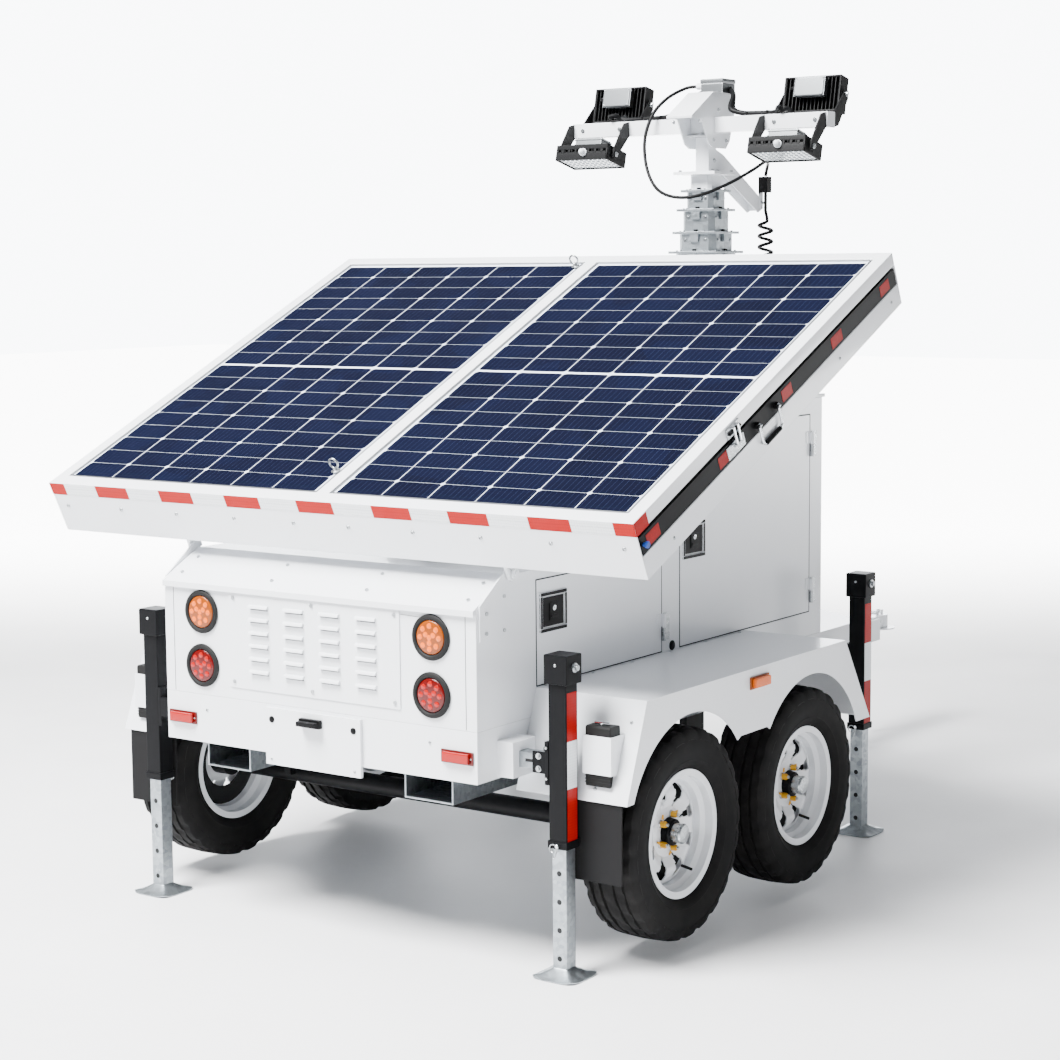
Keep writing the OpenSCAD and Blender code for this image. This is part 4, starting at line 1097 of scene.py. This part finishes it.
@dataclass
class Lamps:
    """The round tail lamps, the markers and the licence lamp.

    Attributes:
        x: how far out the round lamps sit.
        amber_z: height of the amber lamps.
        red_z: height of the red lamps.
    """

    x: float = 482.0
    amber_z: float = 1052.0
    red_z: float = 871.0

    def round_lamp(self, rubber: Maker, lens: Maker, x: float, z: float, bright: Finish,
                   dark: Finish) -> None:
        """Add one round lamp: its rubber grommet, its lens and its diodes."""
        out = (0, -1, 0)
        rubber.lathe((x, 0, z), out, [(70, 0.3), (73, 3), (72, 7), (67, 10.5), (60, 11.5), (56, 9),
                                      (54.5, 4), (54.5, 0.3)], RUBBER, 56, closed=True)
        lens.lathe((x, 0, z), out, [(54, -26), (54, 6), (52, 9), (47, 11), (30, 12.5), (0.1, 13)], dark, 56)
        spots = [(0.0, 0.0)] + [(17 * math.cos(a), 17 * math.sin(a))
                                for a in (math.tau * k / 3 + 0.5 for k in range(3))]
        spots += [(36 * math.cos(a), 36 * math.sin(a)) for a in (math.tau * k / 8 for k in range(8))]
        for dx, dz in spots:
            lens.lathe((x + dx, -11.2, z + dz), out, [(9.5, 0), (9, 1.6), (6, 2.6), (0.1, 3)], bright, 18)

    def build(self) -> None:
        """Make every lamp."""
        rubber = Maker("lamp_rubbers", "trailer")
        amber = Maker("amber_lenses", "trailer")
        red = Maker("red_lenses", "trailer")
        for s in (1, -1):
            self.round_lamp(rubber, amber, s * self.x, self.amber_z, AMBER, AMBER_DARK)
            self.round_lamp(rubber, red, s * self.x, self.red_z, RED, RED_DARK)
            red.box((s * 578 - 62, -6, 666), (s * 578 + 62, -0.3, 708), RED_DARK, 3)
            red.box((s * 578 - 50, -19, 671), (s * 578 + 50, -5, 703), RED, 5)
            amber.box((s * 1069 - 3, 949, 793), (s * 1069 + 3, 1073, 835), AMBER_DARK, 3)
            xs = sorted((s * 1070, s * 1086))
            amber.box((xs[0], 960, 798), (xs[1], 1062, 830), AMBER, 5)
            for dy in (-54, 54):
                red.screw((s * 578 + dy, -6, 687), (0, -1, 0), 3, ZINC)
        rubber.box((-44, -30, 716), (44, -12.4, 745), ABS, 4)
        rubber.plate([(-42, -12), (42, -12), (38, -50), (-38, -50)], 722, 738, ABS, bevel=3)
        for s in (1, -1):
            rubber.lathe((s * 172, -12, 724), (0, -1, 0), [(11, 0), (11, 2), (8, 4), (2, 4.4)], ABS, 24)
        rubber.build(40, ["lamp_housings"])
        amber.build(40, ["amber_lamps"])
        red.build(40, ["red_lamps"])

# ---------------------------------------------------------------- running gear


@dataclass
class Wheels:
    """Four steel wheels with all-terrain tyres.

    Attributes:
        x: the wheels' middle planes.
        y: the axles.
        z: the hubs' height.
        tyre_r: the tyres' radius.
        half_w: half a tyre's width; not used.
        windows: how many openings a rim has.
    """

    x: float = 955.0
    y: tuple = (583.0, 1380.0)
    z: float = 384.0
    tyre_r: float = 346.0
    half_w: float = 102.5
    windows: int = 8

    def build(self) -> None:
        """Make the four wheels."""
        for end, y in zip(("rear", "front"), self.y):
            for side, k in (("right", 1), ("left", -1)):
                self.wheel(f"{end}_{side}", k, y)

    def wheel(self, name: str, k: int, y: float) -> None:
        """Make one wheel.

        Args:
            name: which wheel.
            k: 1 on the right, -1 on the left.
            y: its axle.
        """
        body = f"{name}_wheel"
        turn = Matrix.Rotation(math.radians(90 * k), 4, "Y")
        place = frame_at(k * self.x, y, self.z, turn)
        tyre = Maker(f"tyre_{name}", body, place)
        self.tyre(tyre)
        tyre.build(34, [f"wheel_{name}"])
        rim = Maker(f"rim_{name}", body, place)
        self.rim(rim)
        self.hub(rim)
        rim.build(30)

    def tyre(self, maker: Maker) -> None:
        """Add the tyre: sidewalls with ribs, and a tread of staggered blocks."""
        r = self.tyre_r
        half = [(191, 70, 0), (206, 72, 0), (212, 77, 0), (216, 81, 0), (224, 90, 0), (236, 96, 0),
                (240, 97.4, 0), (243, 96.4, 0), (262, 101, 0), (280, 102.4, 0), (296, 101, 0),
                (304, 99.4, 0), (307, 100.8, 1), (322, 98, 1), (334, 93, 1), (339.5, 88, 1), (342.5, 72, 1),
                (343, 66, 0), (335, 64, 0), (335, 56, 0), (343.6, 54, 2), (344.6, 36, 2), (344.8, 30, 0),
                (336, 28, 0), (336, 20, 0), (345.4, 18, 3), (r - 0.2, 4, 3)]
        outline = half + [(a, -b, f) for a, b, f in reversed(half)]
        outline += [(191, -60, 0), (250, -80, 0), (320, -70, 0), (326, 0, 0), (320, 70, 0), (250, 80, 0),
                    (191, 60, 0)]
        steps = 150
        rings = []
        for k, (radius, height, lug) in enumerate(outline):
            ring = []
            far = k >= len(half)
            for j in range(steps):
                angle = math.tau * j / steps
                deep = 0.0
                if lug:
                    phase = (j + (2 if far else 0) + 2 * lug) % 6
                    deep = {1: 7.0, 2: 6.0, 3: 4.0}[lug] if phase in (0, 1) else 0.0
                    if lug == 1 and radius < 330:
                        deep *= 0.7
                ring.append(maker.mesh.verts.new(((radius - deep) * math.cos(angle),
                                                  (radius - deep) * math.sin(angle), height)))
            rings.append(ring)
        maker.dress(maker.skin(rings, True, False), TYRE)

    def rim(self, maker: Maker) -> None:
        """Add the rim: its well and its dished disc with windows."""
        well = [(208, 79.5), (208, 76.5), (205, 75.2), (189.7, 73.5), (189.5, 48), (176, 40), (174, 10),
                (175, -30), (189, -48), (189.5, -73.5), (205, -75.2), (208, -76.5), (208, -79.5),
                (203, -80), (186, -77), (185.5, -46), (171, -30), (169.5, 10), (171, 38), (185.5, 50),
                (186, 77), (203, 80)]
        maker.lathe((0, 0, 0), (0, 0, 1), well, WHITE, 72, closed=True)
        maker.lathe((0, 0, 0), (0, 0, 1), [(98, -6), (165, -6), (165, -9), (98, -9)], SHADOW, 48, closed=True)
        stations = [(36, 21), (64, 21), (70, 19), (82, 16), (97, 22), (112, 31), (124, 34), (137, 31),
                    (148, 24), (158, 17), (170.5, 14)]
        steps = self.windows * 14
        front, back = [], []
        for r, z in stations:
            front.append([maker.mesh.verts.new((r * math.cos(a), r * math.sin(a), z))
                          for a in (math.tau * j / steps for j in range(steps))])
            back.append([maker.mesh.verts.new((r * math.cos(a), r * math.sin(a), z - 5))
                         for a in (math.tau * j / steps for j in range(steps))])

        def solid(i: int, j: int) -> bool:
            """Tell whether the disc has metal in a cell of its grid."""
            if not 0 <= i < len(stations) - 1:
                return False
            if not 3 <= i <= 8:
                return True
            return not abs(j % 14 - 6.5) < (1, 2, 3, 3, 4, 4)[i - 3]

        faces = []
        for i in range(len(stations) - 1):
            for j in range(steps):
                n = (j + 1) % steps
                if not solid(i, j):
                    continue
                faces.append(maker.mesh.faces.new((front[i][j], front[i + 1][j], front[i + 1][n],
                                                   front[i][n])))
                faces.append(maker.mesh.faces.new((back[i][n], back[i + 1][n], back[i + 1][j], back[i][j])))
                if not solid(i + 1, j):
                    faces.append(maker.mesh.faces.new((front[i + 1][j], back[i + 1][j], back[i + 1][n],
                                                       front[i + 1][n])))
                if not solid(i - 1, j):
                    faces.append(maker.mesh.faces.new((front[i][n], back[i][n], back[i][j], front[i][j])))
                if not solid(i, j - 1):
                    faces.append(maker.mesh.faces.new((front[i][j], back[i][j], back[i + 1][j],
                                                       front[i + 1][j])))
                if not solid(i, n):
                    faces.append(maker.mesh.faces.new((front[i + 1][n], back[i + 1][n], back[i][n],
                                                       front[i][n])))
        maker.dress(faces, WHITE)

    def hub(self, maker: Maker) -> None:
        """Add the hub, its cap, and its nuts with pointers."""
        maker.lathe((0, 0, 0), (0, 0, 1), [(20.2, -50), (52, -50), (52, 14), (46, 22), (43, 44), (38, 48),
                                           (31, 49)], BLACK, 36)
        maker.lathe((0, 0, 48), (0, 0, 1), [(31, 0), (31, 26), (33, 27), (33, 30), (28, 36), (12, 38),
                                            (0.1, 38)], ZINC, 36)
        maker.rod((128, 76, 24), (138, 82, 62), 5, RUBBER)
        for k in range(5):
            a = math.tau * k / 5 + 0.3
            x, y = 57 * math.cos(a), 57 * math.sin(a)
            maker.lathe((x, y, 20), (0, 0, 1), [(13, 0), (13, 3), (10.5, 5)], ZINC, 20)
            maker.lathe((x, y, 24), (0, 0, 1), [(10.5, 0), (10.5, 17), (8, 21)], YELLOW, 6)
            maker.lathe((x, y, 44), (0, 0, 1), [(5.5, 0), (5.5, 6), (4, 8)], ZINC, 14)
            turn = Matrix.Rotation(a + 0.5, 4, "Z")
            maker.plate([(-5, -15), (5, -15), (3, -30), (-3, -30)], 26, 30, YELLOW,
                        Matrix.Translation((x, y, 0)) @ turn, 0.8)


@dataclass
class RunningGear:
    """Fenders, flaps, chocks and axles.

    Attributes:
        half_w: half the body's width.
    """

    half_w: float = 653.0

    def build(self) -> None:
        """Make every piece of the running gear."""
        rounded("fenders", "trailer", WHITE, 3.0)
        rounded("mud_flaps", "trailer", FLAP, 1.0)
        rounded("chock_holders", "trailer", WHITE, 1.0)
        rounded("axles", "trailer", BLACK, 2.0)
        chocks = Maker("rubber_chocks", "trailer")
        for k in (1, -1):
            xs = sorted((k * 912, k * 1003))
            turn = Matrix(((0, 0, 1, 0), (1, 0, 0, 0), (0, 1, 0, 0), (0, 0, 0, 1)))
            chocks.plate([(205, 601), (215, 601), (223, 640), (264, 758), (264, 786), (258, 790), (210, 790),
                          (205, 785)], xs[0], xs[1], RUBBER, turn, 4)
            for j in range(4):
                z = 612 + 10 * j
                chocks.box((xs[0] - 1, 203.5, z), (xs[1] + 1, 206, z + 4), RUBBER, 1)
            chocks.rod((k * 957, 232, 784), (k * 957, 232, 797), 7, CHROME)
            chocks.rod((k * 930, 232, 796), (k * 984, 232, 796), 4.5, CHROME)
        chocks.build(40, ["wheel_chocks"])
        screws = Maker("fender_screws", "trailer")
        for k in (1, -1):
            for y in (380, 620, 860, 1100, 1340, 1580):
                screws.screw((k * (self.half_w + 14), y, 862), (0, 0, 1), 6, ZINC)
            for x, z in ((1026, 795), (996, 700), (941, 592)):
                y = 201 + (z - 554) * 116 / 308
                screws.screw((k * x, y - 0.2, z), (0, -0.936, 0.352), 6, ZINC)
        screws.build(40)


# ---------------------------------------------------------------- jacks


@dataclass
class Jacks:
    """Four slide-out jacks: beam, bracket, tube, cap, leg and foot.

    Attributes:
        corners: each jack's name, place and side.
        beam_z: height of the beams.
        collar_z: underside of the collar.
        cap_z: underside of the cap.
    """

    corners: tuple = (("rear_right", 859.0, 163.0, 1), ("rear_left", 859.0, 163.0, -1),
                      ("front_right", 811.0, 2253.0, 1), ("front_left", 811.0, 2253.0, -1))
    beam_z: float = 672.0
    collar_z: float = 408.0
    cap_z: float = 921.0

    def build(self) -> None:
        """Make the four jacks."""
        for name, x, y, k in self.corners:
            self.outrigger(name, x, y, k)
            self.leg(name, x, y, k)

    def outrigger(self, name: str, x: float, y: float, k: int) -> None:
        """Make the sliding part of a jack."""
        turn = Matrix() if k > 0 else Matrix.Rotation(math.pi, 4, "Z")
        place = frame_at(k * x, y, 0, turn)
        maker = Maker(f"jack_{name}", f"{name}_outrigger", place)
        z, s = self.beam_z, 32.5
        maker.box((-540, -25, z - 25), (-s - 10, 25, z + 25), GALVANISED, 3)
        maker.box((-s - 92, -25.4, z - 5), (-s - 62, -24.8, z + 5), SHADOW, 2)
        maker.box((-s - 14, -34, z - 68), (-s, 34, z + 68), BLACK, 2)
        maker.box((-s - 60, -34, z - 34), (-s - 13, -26, z + 34), BLACK, 2)
        maker.box((-s - 60, 26, z - 34), (-s - 13, 34, z + 34), BLACK, 2)
        for dz in (-20, 20):
            maker.bolt((-s - 36, -34, z + dz), (0, -1, 0), 10, ZINC)
            maker.bolt((-s - 7, -34, z + dz * 2.4), (0, -1, 0), 7, ZINC, False)
        maker.box((-s, -s, self.collar_z + 18), (s, s, self.cap_z + 4), BLACK, 5)
        maker.box((-42.5, -42.5, self.cap_z), (42.5, 42.5, self.cap_z + 92), BLACK, 5)
        maker.lathe((42, 0, self.cap_z + 52), (1, 0, 0), [(15, 0), (15, 5), (9, 6), (9, 15)], ZINC, 24)
        maker.screw((0, -42.5, self.cap_z + 60), (0, -1, 0), 5, ZINC)
        maker.screw((0, 42.5, self.cap_z + 60), (0, 1, 0), 5, ZINC)
        maker.box((-36, -36, self.collar_z), (36, 36, self.collar_z + 25), BLACK, 3)
        for low, high, finish in ((433, 597, TAPE_RED), (597, 745, TAPE_WHITE), (745, 896, TAPE_RED)):
            maker.box((s, -26, low + 0.3), (s + 0.7, 26, high - 0.3), finish, 0.2)
        ring = [Vector((-14 + 13 * math.cos(a), -s - 6, self.collar_z + 2 + 13 * math.sin(a)))
                for a in (math.tau * j / 20 for j in range(20))]
        maker.sweep(ring, 1.8, ZINC, 8, closed=True)
        maker.rod((6, -50, self.collar_z + 13), (6, -34, self.collar_z + 13), 6, CHROME)
        chain = [Vector((-14 + 20 * t, -s - 7 - 9 * math.sin(math.pi * t), self.collar_z + 4 - 34
                         * math.sin(math.pi * t) + 6 * t)) for t in (j / 14 for j in range(15))]
        for j in range(0, 14):
            a, b = chain[j], chain[j + 1]
            maker.rod(a, b, 1.7, ZINC, 6, 0.3)
        maker.build(38, [f"outrigger_{name}"])

    def leg(self, name: str, x: float, y: float, k: int) -> None:
        """Make a jack's leg: a drilled tube on a dished foot."""
        turn = Matrix() if k > 0 else Matrix.Rotation(math.pi, 4, "Z")
        maker = Maker(f"jack_leg_{name}", f"{name}_leg", frame_at(k * x, y, 0, turn))
        s = 26.0
        maker.box((-s, -s, 20), (s, s, 560), GALVANISED, 4)
        for j in range(6):
            z = 60 + 90 * j
            if z > 540:
                continue
            for side in (1, -1):
                seat, out = (0, side * (s - 1.2), z), (0, side, 0)
                maker.lathe(seat, out, [(10.5, 0), (10.5, 1.35), (9, 1.35), (8.6, 0.8)], GALVANISED, 22)
                maker.lathe(seat, out, [(8.7, 0), (8.7, 1.3), (0.1, 1.3)], SHADOW, 22)
        rows = [(82, 0.6, 0.80), (82, 3.6, 0.80), (74, 6.0, 0.78), (58, 13, 0.76), (42, 21, 0.8),
                (30, 27, 0.95), (27, 30, 1.0)]
        rings = []
        for half, z, square in rows:
            ring = []
            for j in range(32):
                a = math.tau * (j + 0.5) / 32
                c, d = math.cos(a), math.sin(a)
                power = 2.0 / (5.0 if square < 1 else 8.0)
                px = half * math.copysign(abs(c) ** power, c)
                py = half * math.copysign(abs(d) ** power, d)
                lift = 5.0 * (abs(c * d) * 2) ** 2 if half > 70 else 0.0
                ring.append(maker.mesh.verts.new((px, py, z + lift)))
            rings.append(ring)
        maker.dress(maker.skin(rings, False, True), GALVANISED)
        maker.build(38, [f"leg_{name}"])


# ---------------------------------------------------------------- mast and head


@dataclass
class Mast:
    """The telescopic mast: five sections, their collars and the arm.

    Attributes:
        y: how far forward it stands.
        tops: the sections' tops.
        sides: the sections' widths.
    """

    y: float = 2461.0
    tops: tuple = (2239.0, 2317.0, 2407.0, 2483.0)
    sides: tuple = (195.0, 171.0, 147.0, 123.0)

    def build(self) -> None:
        """Make every piece of the mast."""
        bodies = ("trailer", "mast_2", "mast_3", "mast_4")
        for k, body in enumerate(bodies):
            rounded(f"mast_section_{k + 1}", body, GALVANISED, 1.5)
            self.collar(k, body)
        clamp = at(32, 2850, 2470)
        rounded("mast_top", "mast_5", WHITE, 2.0, ABS,
                lambda middle: middle.y > clamp.y and middle.z > clamp.z and middle.x > clamp.x - 0.012)
        self.top()

    def collar(self, k: int, body: str) -> None:
        """Add a section's bolts, guide pads and lifting ears."""
        maker = Maker(f"mast_collar_{k + 1}", body, frame_at(0, self.y, 0))
        top, half = self.tops[k], self.sides[k] / 2
        out = half + 13
        for j in range(4):
            turn = Matrix.Rotation(math.pi / 2 * j, 4, "Z")
            for x in (-half * 0.55, half * 0.55):
                maker.bolt(turn @ Vector((x, -half - 6, top)), (0, 0, 1), 7, ZINC, False)
                maker.bolt(turn @ Vector((x, -half, top - 34)), turn @ Vector((0, -1, 0)), 7, ZINC)
            maker.box((-20, -out + 2, top - 42), (20, -half, top - 9), GALVANISED, 2, turn)
            maker.box((-8, -half + 2, top - 1), (8, -half + 10, top + 8), ABS, 1.5, turn)
        maker.build(38)

    def top(self) -> None:
        """Add the top plate's bolts and the arm's bolts and clamp bands."""
        maker = Maker("mast_top_fittings", "mast_5", frame_at(0, self.y, 0))
        for x in (-75, 75):
            for y in (-75, 75):
                maker.bolt((x, y, 2554), (0, 0, 1), 9, ZINC)
        for s in (1, -1):
            maker.bolt((s * 28, 408, 2438), (s, 0, 0), 10, ZINC)
            maker.bolt((s * 30, 14, 2600), (s, 0, 0), 9, ZINC)
            maker.bolt((s * 30, 0, 2668), (s, 0, 0), 8, ZINC)
        for z in (2492, 2530):
            maker.lathe((45, 409, z), (0, 0, 1), [(15, 0), (15, 8), (12, 8.4), (12, -0.4)], ZINC, 24,
                        closed=True)
        maker.build(38)


@dataclass
class Floodlight:
    """One floodlight: a finned casting, a diode panel, its driver and its glands.

    Attributes:
        half_w: half its width.
        depth: where it starts and ends, from its pivot.
        half_t: half its thickness.
    """

    half_w: float = 125.0
    depth: tuple = (-50.0, 95.0)
    half_t: float = 32.0

    def build(self, name: str, place: Matrix, dome: bool) -> None:
        """Make a floodlight.

        Args:
            name: which one it is.
            place: the frame of its pivot, with its diodes facing down.
            dome: whether it carries a light sensor on its edge.
        """
        maker = Maker(f"floodlight_{name}_case", f"{name}_lamp", place)
        (y0, y1), w, t = self.depth, self.half_w, self.half_t
        maker.box((-w + 3, y0 + 3, -t + 8), (w - 3, y1 - 3, 4), LAMP_BLACK, 4)
        count = 15
        for k in range(count):
            x = -w + 8 + (2 * w - 16) * k / (count - 1)
            maker.box((x - 2, y0 + 1, 2), (x + 2, y1 - 1, t - 3), LAMP_BLACK, 1)
        for y in (y0, y1 - 8):
            maker.box((-w, y, -t), (w, y + 8, -4), LAMP_BLACK, 2.5)
            maker.box((-w, y, 12), (w, y + 8, t), LAMP_BLACK, 2.5)
            for k in range(9):
                x = -w + 2 * w * k / 8
                maker.box((max(-w, x - 5), y + 0.5, -5), (min(w, x + 5), y + 7.5, 13), LAMP_BLACK, 1.5)
        for x in (-w, w - 8):
            maker.box((x, y0, -t), (x + 8, y1, t), LAMP_BLACK, 2.5)
        maker.box((-w + 8, y0 + 8, -t + 4), (w - 8, y1 - 8, -t + 9), CHROME, 0.5)
        for i in range(10):
            for j in range(5):
                x = -w + 26 + (2 * w - 52) * i / 9
                y = y0 + 24 + (y1 - y0 - 48) * j / 4
                maker.lathe((x, y, -t + 4), (0, 0, -1), [(8.5, 0), (7.5, 1.6), (4, 2.8), (0.1, 3.2)],
                            LED_LENS, 14)
        maker.box((-58, -18, t - 2), (68, 56, t + 37), CASTING, 4)
        maker.box((-62, -20, t + 26), (72, 58, t + 32), CASTING, 2)
        for x in (-52, 62):
            for y in (-12, 50):
                maker.screw((x, y, t + 37), (0, 0, 1), 4, ZINC)
        maker.lathe((-58, 18, t + 16), (-1, 0, 0), [(11, 0), (11, 8), (9, 9), (9, 18), (6.5, 24)], ABS, 20)
        if dome:
            maker.lathe((10, y0 + 1, -2), (0, -1, 0), [(16, 0), (16, 6), (13, 8), (13, 10), (12.8, 16),
                                                       (10.5, 22), (6, 26), (0.1, 27.5)], DOME, 28)
        for s in (1, -1):
            maker.rod((s * (w - 1), 0, 0), (s * (w + 16), 0, 0), 6, ZINC)
            maker.bolt((s * (w + 12.4), 0, 0), (s, 0, 0), 11, ZINC)
        maker.build(38, [f"floodlight_{name}"])


@dataclass
class LightHead:
    """The head: bar, cheeks, yokes, junction box, lamps and their leads.

    Attributes:
        y: how far forward it stands.
        z: the bar's height.
        bar_x: the bar's middle.
        lamps: how far each lamp is from the bar's middle.
        offset: from the bar to a lamp's pivot.
    """

    y: float = 2461.0
    z: float = 2738.0
    bar_x: float = -30.0
    lamps: tuple = (("right", 450.0), ("left", -450.0))
    offset: tuple = (134.0, 106.0)

    def build(self) -> None:
        """Make every piece of the head."""
        rounded("light_head", "head", WHITE, 1.8, LAMP_BLACK, self._in_yoke)
        self.box()
        self.leads()
        for side, x in self.lamps:
            for end, s, tilt in (("rear", -1, -14.0), ("front", 1, 78.0)):
                turn = Matrix.Rotation(math.radians(tilt), 4, "X")
                place = frame_at(self.bar_x + x, self.y + s * self.offset[0],
                                 self.z + s * self.offset[1], turn)
                depth = (-50.0, 95.0) if end == "rear" else (-75.0, 70.0)
                Floodlight(depth=depth).build(f"{end}_{side}", place, end == "rear")

    def _in_yoke(self, middle: Vector) -> bool:
        """Tell whether a face belongs to a lamp's yoke."""
        away = middle - at(self.bar_x, self.y, self.z)
        return abs(away.x) > 0.25 and max(abs(away.y), abs(away.z)) > 0.042

    def box(self) -> None:
        """Make the junction box and the head's bolts."""
        maker = Maker("junction_box", "head", frame_at(0, self.y, self.z))
        maker.box((-51, 43, 128), (51, 145, 170), CASTING, 5)
        maker.box((-53, 41, 170), (53, 147, 188), CASTING, 5)
        for x in (-42, 42):
            for y in (52, 136):
                maker.lathe((x, y, 187), (0, 0, 1), [(7, 0), (7, 1.5), (4, 1.5), (4, 0.6)], ZINC, 20)
        for k in range(5):
            maker.box((-34, 62 + k * 14, 187), (34, 66 + k * 14, 189.5), CASTING, 1)
        maker.lathe((-50, 69, 162), (-1, 0, 0), [(13, 0), (13, 6), (11, 7), (11, 16), (8.5, 24), (8, 31)],
                    ABS, 24)
        for k, x in enumerate((-30, 0, 30)):
            maker.lathe((x, 145, 148), (0, 1, 0), [(10, 0), (10, 6), (8, 7), (8, 14)], ABS, 20)
        for s in (1, -1):
            for y, z in ((-40, -60), (60, -60), (-150, 8), (90, 60), (0, 60), (0, -10)):
                maker.bolt((s * 58, y, z), (s, 0, 0), 8, ZINC)
            for x, _ in ((450, 0), (-450, 0)):
                maker.bolt((self.bar_x + x + s * 90, -36, 0), (0, -1, 0), 9, ZINC)
                maker.bolt((self.bar_x + x + s * 90, 36, 0), (0, 1, 0), 9, ZINC)
        maker.build(38)

    def leads(self) -> None:
        """Run the lamps' sheathed leads along the bar, strapped to it."""
        maker = Maker("lamp_leads", "head", frame_at(0, self.y, self.z))
        for s in (1, -1):
            x0 = self.bar_x + s * 450
            for k, (dy, dz) in enumerate(((-12, 38), (12, 38))):
                line = curve_through([(s * 44, 110, 150 - k * 6), (s * 92, 60, 120), (s * 120, dy, 62),
                                      (s * 170, dy, dz + 4), (s * 240, dy, dz), (x0 - s * 100, dy, dz),
                                      (x0 - s * 72, dy * 3, dz + 16),
                                      (x0 - s * 50, dy * 4.5, dz + 10 - k * 20)], 5)
                maker.sweep(line, 10, CABLE, 12)
            for x in (200, 290):
                maker.box((s * x - 4, -24, 30), (s * x + 4, 24, 48), ABS, 2)
        maker.build(60)


# ---------------------------------------------------------------- tongue


@dataclass
class Tongue:
    """The coupler, its lever, its shackle and its chain.

    Attributes:
        y: the ball's place.
    """

    y: float = 4060.0

    def build(self) -> None:
        """Make every piece of the tongue."""
        rounded("coupler", "trailer", WHITE, 2.0)
        rounded("coupler_latch", "latch_lever", ZINC, 1.2)
        paint(ZINC, "safety_chain")
        maker = Maker("tongue_shackle", "trailer", frame_at(0, self.y - 150, 0))
        bow = [Vector((25 * math.sin(a), 0, 446 - 24 * math.cos(a))) for a in
               (math.radians(d) for d in range(-150, 151, 15))]
        maker.sweep(bow, 6, RED_PAINT, 12)
        maker.rod((-22, 0, 466), (22, 0, 466), 6, ZINC)
        for s in (1, -1):
            maker.bolt((s * 32, 90, 520), (s, 0, 0), 10, ZINC)
            maker.bolt((s * 32, 40, 520), (s, 0, 0), 10, ZINC)
        maker.build(38)


def main() -> None:
    """Build the whole trailer, one sub-assembly after another."""
    logging.basicConfig(level=logging.INFO)
    studio = Studio()
    studio.camera()
    Cords().build()
    for part in (SolarArray(), Body(), Lamps(), RunningGear(), Wheels(), Jacks(), Mast(), LightHead(),
                 Tongue()):
        part.build()
    studio.floor()
    studio.lights()


if __name__ == "__main__":
    main()
